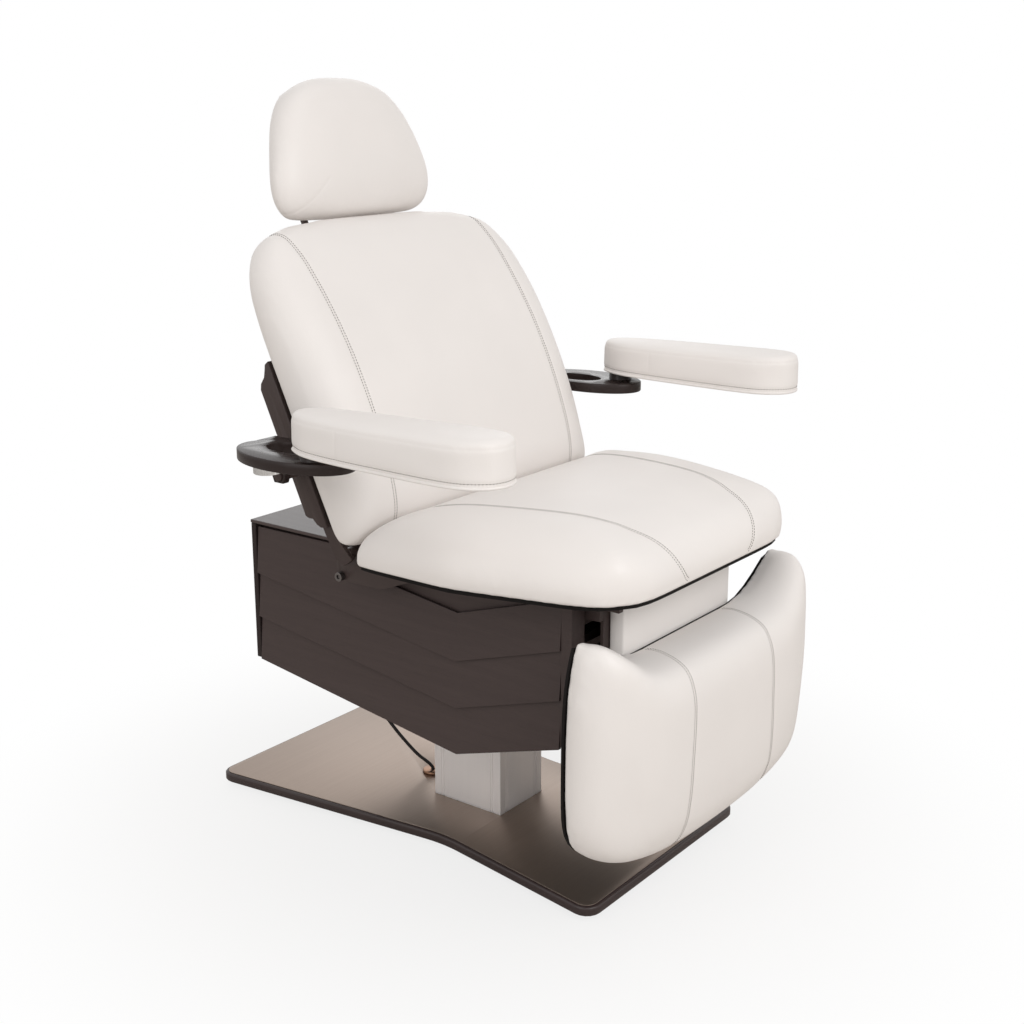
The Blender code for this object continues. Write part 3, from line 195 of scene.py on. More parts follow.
class Finish:
    """A material: one Principled shader, its constants, and the nodes that vary it."""

    def __init__(self, name, colour, **constants):
        self.material = bpy.data.materials.new(name)
        self.material.use_nodes = True
        self.tree = self.material.node_tree
        self.shader = self.tree.nodes["Principled BSDF"]
        self.shader.inputs["Base Color"].default_value = (*colour, 1.0)
        for socket, value in constants.items():
            self.shader.inputs[socket.replace("_", " ")].default_value = value

    def node(self, kind, settings=None, sockets=None, output=0):
        made = self.tree.nodes.new(kind)
        for name, value in (settings or {}).items():
            if name == "stops":
                self.set_stops(made, value)
            else:
                setattr(made, name, value)
        for name, value in (sockets or {}).items():
            if isinstance(value, Wire):
                self.tree.links.new(value.socket, made.inputs[name])
            else:
                made.inputs[name].default_value = value
        return Wire(self, made.outputs[output])

    def set_stops(self, ramp, stops):
        elements = ramp.color_ramp.elements
        while len(elements) < len(stops):
            elements.new(0.5)
        for element, (place, level) in zip(elements, stops):
            element.position = place
            element.color = (level, level, level, 1.0)

    def feed(self, socket, wire):
        self.tree.links.new(wire.socket, self.shader.inputs[socket])

    def place(self, scale=(1.0, 1.0, 1.0), turn=(0.0, 0.0, 0.0)):
        """Object coordinates, stretched for a pattern with a direction."""
        where = self.node("ShaderNodeTexCoord", output="Object")
        return self.node("ShaderNodeMapping", None, {"Vector": where, "Scale": scale, "Rotation": turn})

    def noise(self, where, scale, detail=3.0, roughness=0.55):
        sockets = {"Vector": where, "Scale": scale, "Detail": detail, "Roughness": roughness}
        return self.node("ShaderNodeTexNoise", None, sockets)

    def cells(self, where, scale):
        sockets = {"Vector": where, "Scale": scale, "Smoothness": 0.6}
        return self.node("ShaderNodeTexVoronoi", {"feature": "SMOOTH_F1"}, sockets)

    def levels(self, wire, *stops):
        return self.node("ShaderNodeValToRGB", {"stops": stops}, {"Fac": wire})

    def blend(self, share, first, second):
        sockets = {"Factor": share, "A": first, "B": second}
        return self.node("ShaderNodeMix", {"data_type": "RGBA"}, self.colour_sockets(sockets), 2)

    def colour_sockets(self, sockets):
        """The Mix node's colour inputs stand at 6 and 7, and its factor at 0."""
        return {0: sockets["Factor"], 6: self.solid(sockets["A"]), 7: self.solid(sockets["B"])}

    def solid(self, colour):
        return colour if isinstance(colour, Wire) else (*colour, 1.0)

    def bump(self, height, strength, distance, over=None):
        sockets = {"Height": height, "Strength": strength, "Distance": distance}
        if over is not None:
            sockets["Normal"] = over
        return self.node("ShaderNodeBump", None, sockets)

    def attribute(self, name):
        return self.node("ShaderNodeAttribute", {"attribute_name": name}, None, "Fac")


def shaded(colour, level):
    """A colour made darker or paler."""
    return tuple(channel * level for channel in colour)


def white_vinyl():
    """Soft upholstery vinyl: fine pebbled grain, slow tone drift, and painted shade with a little grime in
    the seams.
    """
    tone = (0.816, 0.777, 0.751)
    finish = Finish("white_vinyl", tone, Specular_IOR_Level=0.42)
    where = finish.place()
    drift = finish.noise(where, 5.0, 2.0)
    colour = finish.blend(drift, shaded(tone, 0.955), shaded(tone, 1.035))
    # The seam attribute darkens the vinyl by up to a tenth towards brown-grey: painted shade with a little
    # grime in the seam valleys and tucks.
    seam = finish.attribute("seam")
    finish.feed("Base Color", finish.blend(seam * 0.10, colour, (0.46, 0.41, 0.37)))
    grain = finish.cells(where, 620.0)
    soft = finish.noise(where, 38.0, 3.0)
    finish.feed("Roughness", 0.40 + 0.10 * soft + 0.05 * grain)
    folds = finish.bump(soft, 0.10, 0.0022)
    finish.feed("Normal", finish.bump(grain, 0.16, 0.0004, folds))
    return finish.material


def black_vinyl():
    """Piping cord covered in dark vinyl."""
    finish = Finish("black_vinyl", (0.010, 0.009, 0.009), Specular_IOR_Level=0.18)
    where = finish.place()
    grain = finish.cells(where, 800.0)
    soft = finish.noise(where, 60.0)
    finish.feed("Base Color", finish.blend(soft, (0.007, 0.006, 0.006), (0.016, 0.014, 0.0135)))
    finish.feed("Roughness", 0.46 + 0.14 * soft)
    finish.feed("Normal", finish.bump(grain, 0.2, 0.0003))
    return finish.material


def thread():
    """Twisted sewing thread, darker than the vinyl."""
    finish = Finish("sewing_thread", (0.11, 0.092, 0.078), Specular_IOR_Level=0.2)
    where = finish.place(turn=(0.5, 0.4, 0.3))
    sockets = {"Vector": where, "Scale": 900.0, "Distortion": 1.5}
    twist = finish.node("ShaderNodeTexWave", None, sockets, "Fac")
    finish.feed("Base Color", finish.blend(twist, (0.075, 0.062, 0.053), (0.150, 0.128, 0.110)))
    finish.feed("Roughness", 0.62 + 0.12 * twist)
    finish.feed("Normal", finish.bump(twist, 0.4, 0.0002))
    return finish.material


def laminate(name, dark, pale, stretch, gloss, shine=0.26):
    """Woodgrain laminate: long fibres, a slow figure and fine open pores along the grain."""
    finish = Finish(name, pale, Specular_IOR_Level=shine)
    fibre_place = finish.place(stretch)
    figure_place = finish.place(tuple(size * 0.16 for size in stretch))
    fibre = finish.noise(fibre_place, 9.0, 5.0, 0.65)
    figure = finish.noise(figure_place, 6.0, 3.0, 0.5)
    pores = finish.levels(fibre, (0.30, 0.0), (0.46, 1.0))
    tone = finish.blend(0.65 * figure + 0.35 * fibre, dark, pale)
    finish.feed("Base Color", finish.blend(0.22 - 0.22 * pores, tone, shaded(dark, 0.45)))
    finish.feed("Roughness", gloss + 0.16 * fibre)
    finish.feed("Normal", finish.bump(pores, 0.12, 0.0003))
    return finish.material


def satin_paint(name, colour, gloss, shine=0.22):
    """Dark sprayed paint with a light orange peel."""
    finish = Finish(name, colour, Specular_IOR_Level=shine, Coat_Roughness=0.25)
    where = finish.place()
    peel = finish.noise(where, 420.0, 2.0)
    drift = finish.noise(where, 11.0, 2.0)
    finish.feed("Base Color", finish.blend(drift, shaded(colour, 0.82), shaded(colour, 1.22)))
    finish.feed("Roughness", gloss + 0.10 * drift)
    finish.feed("Coat Weight", 0.04 + 0.06 * drift)
    finish.feed("Normal", finish.bump(peel, 0.06, 0.0003))
    return finish.material


def brushed(name, colour, stretch, gloss, streak, metal=1.0):
    """Brushed or drawn metal: fine scratches in one direction."""
    finish = Finish(name, colour, Metallic=metal)
    fine = finish.noise(finish.place(stretch), 22.0, 4.0, 0.7)
    broad = finish.noise(finish.place(tuple(size * 0.12 for size in stretch)), 14.0, 2.0)
    mark = 0.6 * fine + 0.4 * broad
    finish.feed("Base Color", finish.blend(mark, shaded(colour, 1.0 - streak), shaded(colour, 1.0 + streak)))
    finish.feed("Roughness", gloss - 0.08 + 0.18 * fine)
    finish.feed("Normal", finish.bump(fine, 0.07, 0.0002))
    return finish.material


def moulded(name, colour, gloss):
    """Moulded plastic or rubber with a fine spark texture."""
    finish = Finish(name, colour, Specular_IOR_Level=0.4)
    where = finish.place()
    spark = finish.noise(where, 900.0, 2.0)
    drift = finish.noise(where, 14.0, 3.0)
    finish.feed("Base Color", finish.blend(drift, shaded(colour, 0.75), shaded(colour, 1.35)))
    finish.feed("Roughness", gloss + 0.14 * drift)
    finish.feed("Normal", finish.bump(spark, 0.14, 0.0003))
    return finish.material


def polished(name, colour, gloss):
    """Plated or polished metal with faint handling marks."""
    finish = Finish(name, colour, Metallic=1.0)
    where = finish.place()
    marks = finish.noise(where, 55.0, 5.0, 0.7)
    finish.feed("Base Color", finish.blend(marks, shaded(colour, 0.94), shaded(colour, 1.04)))
    finish.feed("Roughness", gloss + 0.08 * marks)
    finish.feed("Normal", finish.bump(marks, 0.03, 0.0002))
    return finish.material


VINYL = white_vinyl()
EDGING = black_vinyl()
THREAD = thread()
GRAIN_ALONG = (90.0, 3.0, 90.0)
GRAIN_UP = (90.0, 90.0, 3.0)
GRAIN_ACROSS = (4.0, 60.0, 60.0)
ESPRESSO = laminate("espresso_wood", (0.047, 0.0330, 0.0308), (0.070, 0.0495, 0.0463), GRAIN_ALONG, 0.40)
# A darker copy of the cabinet wood for the rear panel: painted shade that keeps its lit edge as dark as the
# shade at the cabinet's back.
SHADED_REAR_WOOD = laminate("shaded_rear_wood", (0.022, 0.0155, 0.0145), (0.036, 0.0255, 0.0240), GRAIN_UP, 0.44, 0.15)
# A paler copy of the cabinet wood for the top panel: painted light standing in for the light its upward face
# catches.
LIT_TOP_WOOD = laminate("lit_top_wood", (0.040, 0.0285, 0.0265), (0.095, 0.0700, 0.0655), GRAIN_ALONG, 0.28, 0.30)
BOARD = laminate("black_board", (0.006, 0.0052, 0.0050), (0.014, 0.0120, 0.0115), GRAIN_ACROSS, 0.50, 0.08)
PAINT = satin_paint("dark_metal", (0.054, 0.0380, 0.0350), 0.36)
PLATE_PAINT = satin_paint("arm_plate_paint", (0.030, 0.0215, 0.0200), 0.22, 0.16)
EDGE_PAINT = satin_paint("base_edge_paint", (0.040, 0.0265, 0.0255), 0.30, 0.35)
BRONZE = brushed("bronze_sheet", (0.325, 0.262, 0.222), (3.0, 140.0, 140.0), 0.42, 0.16)
ALUMINIUM = brushed("silver_aluminium", (0.930, 0.900, 0.890), (150.0, 150.0, 3.0), 0.36, 0.06, 0.20)
STEEL = brushed("plain_steel", (0.480, 0.475, 0.470), (30.0, 120.0, 30.0), 0.36, 0.10)
DARK_STEEL = brushed("blackened_steel", (0.170, 0.155, 0.150), (30.0, 120.0, 30.0), 0.34, 0.10)
RUBBER = moulded("black_rubber", (0.018, 0.017, 0.017), 0.62)
PLASTIC = moulded("black_plastic", (0.022, 0.021, 0.021), 0.44)
COPPER = polished("copper_gland", (0.300, 0.172, 0.112), 0.30)
CHROME = polished("bright_chrome", (0.760, 0.765, 0.770), 0.07)


# Modelling helpers
def deselect():
    for other in list(bpy.context.selected_objects):
        other.select_set(False)


def take(piece):
    """Makes a piece the only selected and the active one."""
    deselect()
    piece.select_set(True)
    bpy.context.view_layer.objects.active = piece
    return piece


def modify(piece, kind, **settings):
    """Adds one modifier, applies it at once and leaves no trace."""
    take(piece)
    step = piece.modifiers.new(kind.lower(), kind)
    for name, value in settings.items():
        setattr(step, name, value)
    bpy.ops.object.modifier_apply(modifier=step.name)


def edit_all(piece):
    """Opens a piece for editing with all of it selected."""
    take(piece)
    bpy.ops.object.mode_set(mode="EDIT")
    bpy.ops.mesh.select_all(action="SELECT")


def leave_edit():
    bpy.ops.object.mode_set(mode="OBJECT")


def break_edges(piece, width, degrees=30.0, segments=2):
    """Takes the sharpness off the edges that turn by more than an angle."""
    turn = math.radians(degrees)
    modify(piece, "BEVEL", width=width, segments=segments, limit_method="ANGLE", angle_limit=turn)


def subdivide(piece, level):
    modify(piece, "SUBSURF", levels=level, render_levels=level)


def points_of(piece):
    flat = np.empty(len(piece.data.vertices) * 3)
    piece.data.vertices.foreach_get("co", flat)
    return flat.reshape(-1, 3)


def normals_of(piece):
    return np.array([vertex.normal for vertex in piece.data.vertices])


def set_points(piece, places):
    piece.data.vertices.foreach_set("co", np.asarray(places, float).ravel())
    piece.data.update()


def wear(piece, finish, name):
    piece.data.materials.clear()
    piece.data.materials.append(finish)
    piece.name = name
    piece.data.name = name
    return piece


def settle(piece, body, slot, *nodes):
    """Puts a finished piece on its body and hides the nodes it stands for; its slot is not used."""
    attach(piece, body)
    if nodes:
        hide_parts(*nodes)
    return piece


def smooth(piece, degrees=32.0):
    take(piece)
    bpy.ops.object.shade_smooth_by_angle(angle=math.radians(degrees))


def node_copy(node, name):
    """A node's form as a mesh of its own, with its loose triangles merged."""
    piece = bpy.data.objects.new(name, NODES[node].data.copy())
    SCENE.collection.objects.link(piece)
    edit_all(piece)
    bpy.ops.mesh.remove_doubles(threshold=MERGE)
    bpy.ops.mesh.normals_make_consistent(inside=False)
    leave_edit()
    return piece


def tidy_quads(piece):
    """Pairs triangles into four-sided faces, which subdivide more evenly."""
    edit_all(piece)
    bpy.ops.mesh.tris_convert_to_quads(face_threshold=math.radians(60.0), shape_threshold=math.radians(80.0))
    leave_edit()


# Padded covers
def resting_plane(piece):
    """The flat underside that a cover rests on: the direction with the most area, and its height."""
    found = {}
    for face in piece.data.polygons:
        key = tuple(round(value, 2) for value in face.normal)
        found.setdefault(key, []).append(face)
    faces = max(found.values(), key=lambda group: sum(face.area for face in group))
    normal = faces[0].normal.copy()
    return normal, normal.dot(faces[0].center)


def keep_rim(piece, normal, height):
    """Creases the edges of the flat underside, so that subdividing leaves its outline."""
    crease = piece.data.attributes.new("crease_edge", "FLOAT", "EDGE")
    flat = [abs(normal.dot(vertex.co) - height) < FLAT_WITHIN for vertex in piece.data.vertices]
    for edge in piece.data.edges:
        first, second = edge.vertices
        crease.data[edge.index].value = 1.0 if flat[first] and flat[second] else 0.0


def round_cage(piece, level):
    """Subdivides a cover, with its cage moved until the round form keeps the node's own points."""
    wanted = points_of(piece)
    cage = wanted.copy()
    step = piece.modifiers.new("round", "SUBSURF")
    step.levels = level
    step.render_levels = level
    for _ in range(6):
        bpy.context.view_layer.update()
        rounded = piece.evaluated_get(bpy.context.evaluated_depsgraph_get())
        cage += 0.9 * (wanted - points_of(rounded)[:len(wanted)])
        set_points(piece, cage)
    take(piece)
    bpy.ops.object.modifier_apply(modifier=step.name)


def even_skin(piece, voxel):
    """Remeshes a cover to an even net that still lies on its round form."""
    form = piece.copy()
    form.data = piece.data.copy()
    SCENE.collection.objects.link(form)
    modify(piece, "REMESH", mode="VOXEL", voxel_size=voxel)
    modify(piece, "SMOOTH", factor=0.5, iterations=3)
    modify(piece, "SHRINKWRAP", target=form, wrap_method="NEAREST_SURFACEPOINT")
    bpy.data.objects.remove(form)


def pull_in(piece, normal, height, by):
    """Draws the skin in a little before it swells, less so near the glued underside."""
    places = points_of(piece)
    above = height - places @ np.array(normal)
    share = np.clip(above / GLUED_SIDE, 0.0, 1.0)
    set_points(piece, places - normals_of(piece) * (by * share)[:, None])


def pin(piece, normal, height):
    """The underside is glued down, and the hold fades over the first 20 mm of the side."""
    group = piece.vertex_groups.new(name="glued")
    above = height - points_of(piece) @ np.array(normal)
    holds = np.clip(1.0 - (above - GLUED_FULLY) / (GLUED_SIDE - GLUED_FULLY), 0.0, 1.0)
    for index, hold in enumerate(holds):
        if hold > 0.0:
            group.add([index], float(hold), "REPLACE")
    return group.name


def swell(piece, held, cap, form, outward):
    """Blows the cover up like a skin over foam: it may stand out from its form by the cap, never in."""
    take(piece)
    cloth = piece.modifiers.new("skin", "CLOTH")
    cloth.settings.quality = 5
    cloth.settings.mass = 0.3
    cloth.settings.tension_stiffness = 20.0
    cloth.settings.compression_stiffness = 20.0
    cloth.settings.bending_stiffness = 1.0
    cloth.settings.use_pressure = True
    cloth.settings.uniform_pressure_force = 4.0
    cloth.settings.vertex_group_mass = held
    cloth.settings.effector_weights.gravity = 0.0
    cloth.collision_settings.use_collision = False
    cloth.point_cache.frame_start = 1
    cloth.point_cache.frame_end = SWELL_FRAMES
    for step in range(1, SWELL_FRAMES + 1):
        SCENE.frame_set(step)
    bpy.ops.object.modifier_apply(modifier=cloth.name)
    SCENE.frame_set(1)
    lift = np.clip(((points_of(piece) - form) * outward).sum(axis=1), 0.0, cap)
    set_points(piece, form + relaxed(piece, lift[:, None] * outward, 14))


def averaging(piece):
    """A function that gives each point the mean of a value over its neighbours."""
    ends = np.empty(len(piece.data.edges) * 2, np.int32)
    piece.data.edges.foreach_get("vertices", ends)
    first, second = ends.reshape(-1, 2).T
    count = np.maximum(np.bincount(ends, minlength=len(piece.data.vertices)), 1)[:, None]

    def mean(values):
        total = np.zeros_like(values)
        np.add.at(total, first, values[second])
        np.add.at(total, second, values[first])
        return total / count

    return mean


def relaxed(piece, values, rounds):
    """Averages a value over each point's neighbours, so that fine wrinkles calm down."""
    mean = averaging(piece)
    for _ in range(rounds):
        values = 0.5 * values + 0.5 * mean(values)
    return values


def fair(piece, normal, height, rounds):
    """Takes short bumps out of a form, and gives back what that took from its broad rounds."""
    rest = points_of(piece)
    places = relaxed(piece, rest, rounds)
    for _ in range(3):
        places = places + relaxed(piece, rest - places, rounds)
    above = height - rest @ np.array(normal)
    share = np.clip((above - FAIR_START) / FAIR_FADE, 0.0, 1.0)[:, None]
    set_points(piece, rest + share * (places - rest))


def skin_tree(piece):
    return BVHTree.FromPolygons(
        [vertex.co for vertex in piece.data.vertices],
        [face.vertices for face in piece.data.polygons],
    )


def fan(tree, origin, first, second, turns):
    """Where rays turned from one direction towards another meet the skin from inside."""
    found = []
    for turn in turns:
        ray = first * math.cos(turn) + second * math.sin(turn)
        place = tree.ray_cast(origin, ray)[0]
        if place is not None:
            found.append(place)
    return found


def even(points, pitch):
    """The same line with points at an even pitch, and the share of its length at each."""
    line = np.array(points)
    steps = np.linalg.norm(np.diff(line, axis=0), axis=1)
    along = np.concatenate([[0.0], np.cumsum(steps)])
    count = max(2, int(along[-1] / pitch))
    marks = np.linspace(0.0, along[-1], count + 1)
    spaced = np.stack([np.interp(marks, along, line[:, axis]) for axis in range(3)], axis=1)
    return spaced, marks / along[-1]


def sewn_line(tree, start, first, second, sideways):
    """A seam over a cover: a fan of rays whose x drifts with the share of the way."""
    turns = np.linspace(0.02, math.pi - 0.02, 160)
    rough = fan(tree, Vector((sideways(0.5), start[1], start[2])), first, second, turns)
    line = np.array(rough)
    along = np.concatenate([[0.0], np.cumsum(np.linalg.norm(np.diff(line, axis=0), axis=1))])
    shares = along / along[-1]
    found = []
    for turn, share in zip(turns, shares):
        origin = Vector((sideways(share), start[1], start[2]))
        found += fan(tree, origin, first, second, [turn])
    return even(found, SEAM_STEP)[0]


def carve(piece, lines, depth, width):
    """Presses seams into a cover and keeps how near each point is to one, for the painted shade in its
    seams.
    """
    samples = np.concatenate(lines)
    tree = KDTree(len(samples))
    for index, place in enumerate(samples):
        tree.insert(place, index)
    tree.balance()
    places = points_of(piece)
    normals = normals_of(piece)
    near = np.array([tree.find(place)[2] for place in places])
    valley = np.exp(-((near / width) ** 2))
    set_points(piece, places - normals * (depth * valley)[:, None])
    return np.exp(-((near / (0.45 * width)) ** 2))


# Keeps the strongest painted seam shade on each point, as the attribute that the vinyl reads.
def paint_seam_shade(piece, near):
    attribute = piece.data.attributes.get("seam") or piece.data.attributes.new("seam", "FLOAT", "POINT")
    held = np.zeros(len(piece.data.vertices), np.float32)
    attribute.data.foreach_get("value", held)
    attribute.data.foreach_set("value", np.maximum(held, near).astype(np.float32))


def cover(node, voxel, cap, rounds=SEAT_FAIRING):
    """The cover of one cushion: the node's form, rounded, remeshed, faired, swollen and fine."""
    piece = node_copy(node, f"{node}_cover")
    normal, height = resting_plane(piece)
    tidy_quads(piece)
    keep_rim(piece, normal, height)
    round_cage(piece, 2)
    even_skin(piece, voxel)
    fair(piece, normal, height, rounds)
    held = pin(piece, normal, height)
    form = points_of(piece)
    outward = normals_of(piece)
    pull_in(piece, normal, height, 0.5 * cap)
    swell(piece, held, cap, form, outward)
    piece.vertex_groups.clear()
    subdivide(piece, 1)
    take(piece)
    bpy.ops.object.shade_smooth()
    wear(piece, VINYL, f"{node}_cover")
    paint_seam_shade(piece, np.zeros(len(piece.data.vertices)))
    return piece, normal, height


# Stitches: one modelled stitch, copied along a row into one mesh
def stitch_model():
    """A short thread that dips into the cover at both ends."""
    deselect()
    bpy.ops.mesh.primitive_cylinder_add(vertices=6, radius=STITCH_RADIUS, depth=STITCH_LENGTH)
    piece = bpy.context.active_object
    edit_all(piece)
    bpy.ops.mesh.bisect(plane_co=(0.0, 0.0, 0.0), plane_no=(0.0, 0.0, 1.0))
    leave_edit()
    for vertex in piece.data.vertices:
        end = abs(vertex.co.z) > 0.4 * STITCH_LENGTH
        vertex.co.x = vertex.co.x * (0.75 if end else 1.0) - (1.1 * STITCH_RADIUS if end else 0.0)
    places = points_of(piece)
    faces = [list(face.vertices) for face in piece.data.polygons]
    bpy.data.objects.remove(piece)
    return places, faces


STITCH = stitch_model()


def stitched(name, rows, body):
    """All stitches of one cover as one piece. A row is a list of (place, along, outward)."""
    shape, faces = STITCH
    all_places = []
    all_faces = []
    for place, along, outward in rows:
        aside = np.cross(outward, along)
        offset = len(all_places) * len(shape)
        turned = place + shape[:, :1] * outward + shape[:, 1:2] * aside + shape[:, 2:] * along
        all_places.append(turned)
        all_faces += [[index + offset for index in face] for face in faces]
    mesh = bpy.data.meshes.new(name)
    mesh.from_pydata(np.concatenate(all_places).tolist(), [], all_faces)
    piece = bpy.data.objects.new(name, mesh)
    SCENE.collection.objects.link(piece)
    take(piece)
    bpy.ops.object.shade_smooth()
    wear(piece, THREAD, name)
    return settle(piece, body, "white_vinyl")


def stitch_row(tree, line, aside, pitch=STITCH_PITCH):
    """Stitches beside a seam, each laid on the skin."""
    spaced, _ = even(line, pitch)
    rows = []
    for index in range(1, len(spaced) - 1):
        along = Vector(spaced[index + 1] - spaced[index - 1]).normalized()
        place, outward, _, _ = tree.find_nearest(Vector(spaced[index]))
        place, outward, _, _ = tree.find_nearest(place + outward.cross(along) * aside)
        along = (along - outward * along.dot(outward)).normalized()
        lifted = place + outward * (0.5 * STITCH_RADIUS)
        rows.append((np.array(lifted), np.array(along), np.array(outward)))
    return rows


def double_rows(tree, lines):
    rows = []
    for line in lines:
        for aside in (-ROW_APART, ROW_APART):
            rows += stitch_row(tree, line, aside)
    return rows


# Piping round the foot of a cover
def rim_line(piece, level, direction):
    """The outline of a cover where a plane through a point cuts it, as a closed curve."""
    ring = piece.copy()
    ring.data = piece.data.copy()
    ring.name = "rim"
    SCENE.collection.objects.link(ring)
    edit_all(ring)
    bpy.ops.mesh.bisect(plane_co=level, plane_no=direction, clear_inner=True, clear_outer=True)
    leave_edit()
    bpy.ops.object.convert(target="CURVE")
    return bpy.context.active_object


def rim_points(piece, level, direction):
    """The same outline as points, closed, in order round the cover."""
    ring = rim_line(piece, level, direction)
    spline = max(ring.data.splines, key=lambda each: len(each.points))
    places = [np.array(point.co[:3]) for point in spline.points]
    bpy.data.objects.remove(ring)
    return even(places + places[:1], SEAM_STEP)[0]


def piping(piece, name, normal, height, above, radius, finish, body, slot):
    """A round cord sewn in along the foot of a cover."""
    ring = rim_line(piece, normal * (height - above), normal)
    bpy.ops.object.mode_set(mode="EDIT")
    bpy.ops.curve.select_all(action="SELECT")
    for _ in range(12):
        bpy.ops.curve.smooth()
    leave_edit()
    ring.data.bevel_depth = radius
    ring.data.bevel_resolution = 3
    take(ring)
    bpy.ops.object.convert(target="MESH")
    made = bpy.context.active_object
    modify(made, "WELD", merge_threshold=0.0001)
    bpy.ops.object.shade_smooth()
    wear(made, finish, name)
    return settle(made, body, slot)


def sewn_cushion(name, body, rounds, start, first, second, aside, piped=0.0):
    """A cushion with a seam on each side, and dark piping round its foot where it has a radius."""
    piece, normal, height = cover(f"{name}_cushion", COVER_NET, COVER_CAP, rounds)
    tree = skin_tree(piece)
    lines = []
    for _, sign in SIDES:
        lines.append(sewn_line(tree, start, first, second, lambda share, sign=sign: sign * aside(share)))
    paint_seam_shade(piece, carve(piece, lines, SEAM_DEPTH, SEAM_WIDTH))
    stitched(f"{name}_stitches", double_rows(skin_tree(piece), lines), body)
    if piped:
        piping(piece, f"{name}_piping", normal, height, PIPING_LIFT, piped, EDGING, body, "black_board")
    settle(piece, body, "white_vinyl", f"{name}_cushion")


def seat_seam(share):
    """How far the seat's seams lie from the middle: they spread from the front to the back."""
    return SEAT_SEAM_FRONT + SEAT_SEAM_SPREAD * share ** SEAT_SEAM_SWEEP


def back_seam(share):
    """The back's seams run straight up."""
    return BACK_SEAM


def leg_seam(share):
    """The leg rest's seams spread a little from its top to its foot."""
    return LEG_SEAM_TOP + LEG_SEAM_SPREAD * share


def seat():
    start = (0.0, SEAT_MID_Y, SEAT_LINE + SEAM_LIFT)
    sewn_cushion("seat", "lift", SEAT_FAIRING, start, FORWARD, UP, seat_seam, SEAT_PIPING)


def back():
    start = back_point(0.0, *BACK_SEAM_HEART)
    sewn_cushion("back", "back", BACK_FAIRING, start, -BACK_UP, BACK_OUT, back_seam)


def leg_rest():
    start = (0.0, FOOT_BACK - SEAM_LIFT, LEG_SEAM_HEART)
    sewn_cushion("leg_rest", "leg", LEG_FAIRING, start, UP, FORWARD, leg_seam, LEG_PIPING)


def corner_tuck(tree):
    """The short tuck that takes up the cover at one lower corner of the headrest."""
    heart = back_point(0.0, *HEAD_TILT) + HEAD_OUT * 0.070 - HEAD_UP * 0.040 - ASIDE * 0.115
    low = -ASIDE - HEAD_UP * 0.72 - HEAD_OUT * 0.20
    high = HEAD_OUT + ASIDE * 0.15 - HEAD_UP * 0.05
    found = []
    for share in np.linspace(0.0, 1.0, 60):
        ray = low.lerp(high, share) - HEAD_UP * (0.4 * share * (1.0 - share))
        found.append(tree.ray_cast(heart, ray.normalized())[0])
    return even([place for place in found if place is not None], SEAM_STEP)[0]


def headrest():
    piece, _, _ = cover("headrest_cushion", HEAD_NET, COVER_CAP, HEAD_FAIRING)
    tree = skin_tree(piece)
    # The tuck's crease gets the same painted shade as the seams.
    paint_seam_shade(piece, carve(piece, [corner_tuck(tree)], TUCK_DEPTH, TUCK_WIDTH))
    settle(piece, "headrest", "white_vinyl", "headrest_cushion")


def side_join(tree, sign, way):
    """The upright seam where the pad's side strip is joined."""
    found = []
    for lift in np.linspace(0.010, 0.056, 24):
        heart = Vector((sign * PAD_X, PAD_SEAM_Y, PAD_BOTTOM + lift))
        found.append(tree.ray_cast(heart, ASIDE * way)[0])
    return even([place for place in found if place is not None], SEAM_STEP)[0]


def arm_pad(side, sign):
    node = f"arm_pad_{side}"
    piece, normal, height = cover(node, PAD_NET, PAD_CAP)
    hem = rim_points(piece, normal * (height - PAD_HEM), normal)
    tilted = Vector((0.0, PAD_SLOPE, 1.0)).normalized()
    welt = rim_points(piece, Vector((0.0, PAD_MID_Y, PAD_BOTTOM + PAD_WELT)), tilted)
    joins = [side_join(skin_tree(piece), sign, way) for way in (-1.0, 1.0)]
    carve(piece, [hem], PAD_HEM_DEPTH, PAD_HEM_WIDTH)
    # The welt and side joins get three fifths of the painted seam shade.
    paint_seam_shade(piece, 0.6 * carve(piece, [welt] + joins, PAD_WELT_DEPTH, PAD_WELT_WIDTH))
    stitched(f"{node}_stitches", stitch_row(skin_tree(piece), hem, 0.0, PAD_PITCH), f"pad_{side}")
    foot = (normal, height, PAD_PIPING_LIFT, PAD_PIPING)
    piping(piece, f"{node}_hem", *foot, VINYL, f"pad_{side}", "white_vinyl")
    settle(piece, f"pad_{side}", "white_vinyl", node)


# The lead from the base to the control box
LEAD = (
    (0.006, 0.150, 0.0336),
    (0.006, 0.150, 0.0396),
    (0.006, 0.150, 0.0456),
    (-0.016, 0.172, 0.070),
    (-0.038, 0.205, 0.118),
    (-0.056, 0.236, 0.168),
    (-0.070, 0.258, 0.230),
    (-0.080, 0.272, 0.289),
    (-0.084, 0.276, 0.327),
    (-0.084, 0.276, 0.336),
    (-0.084, 0.276, 0.3447),
)


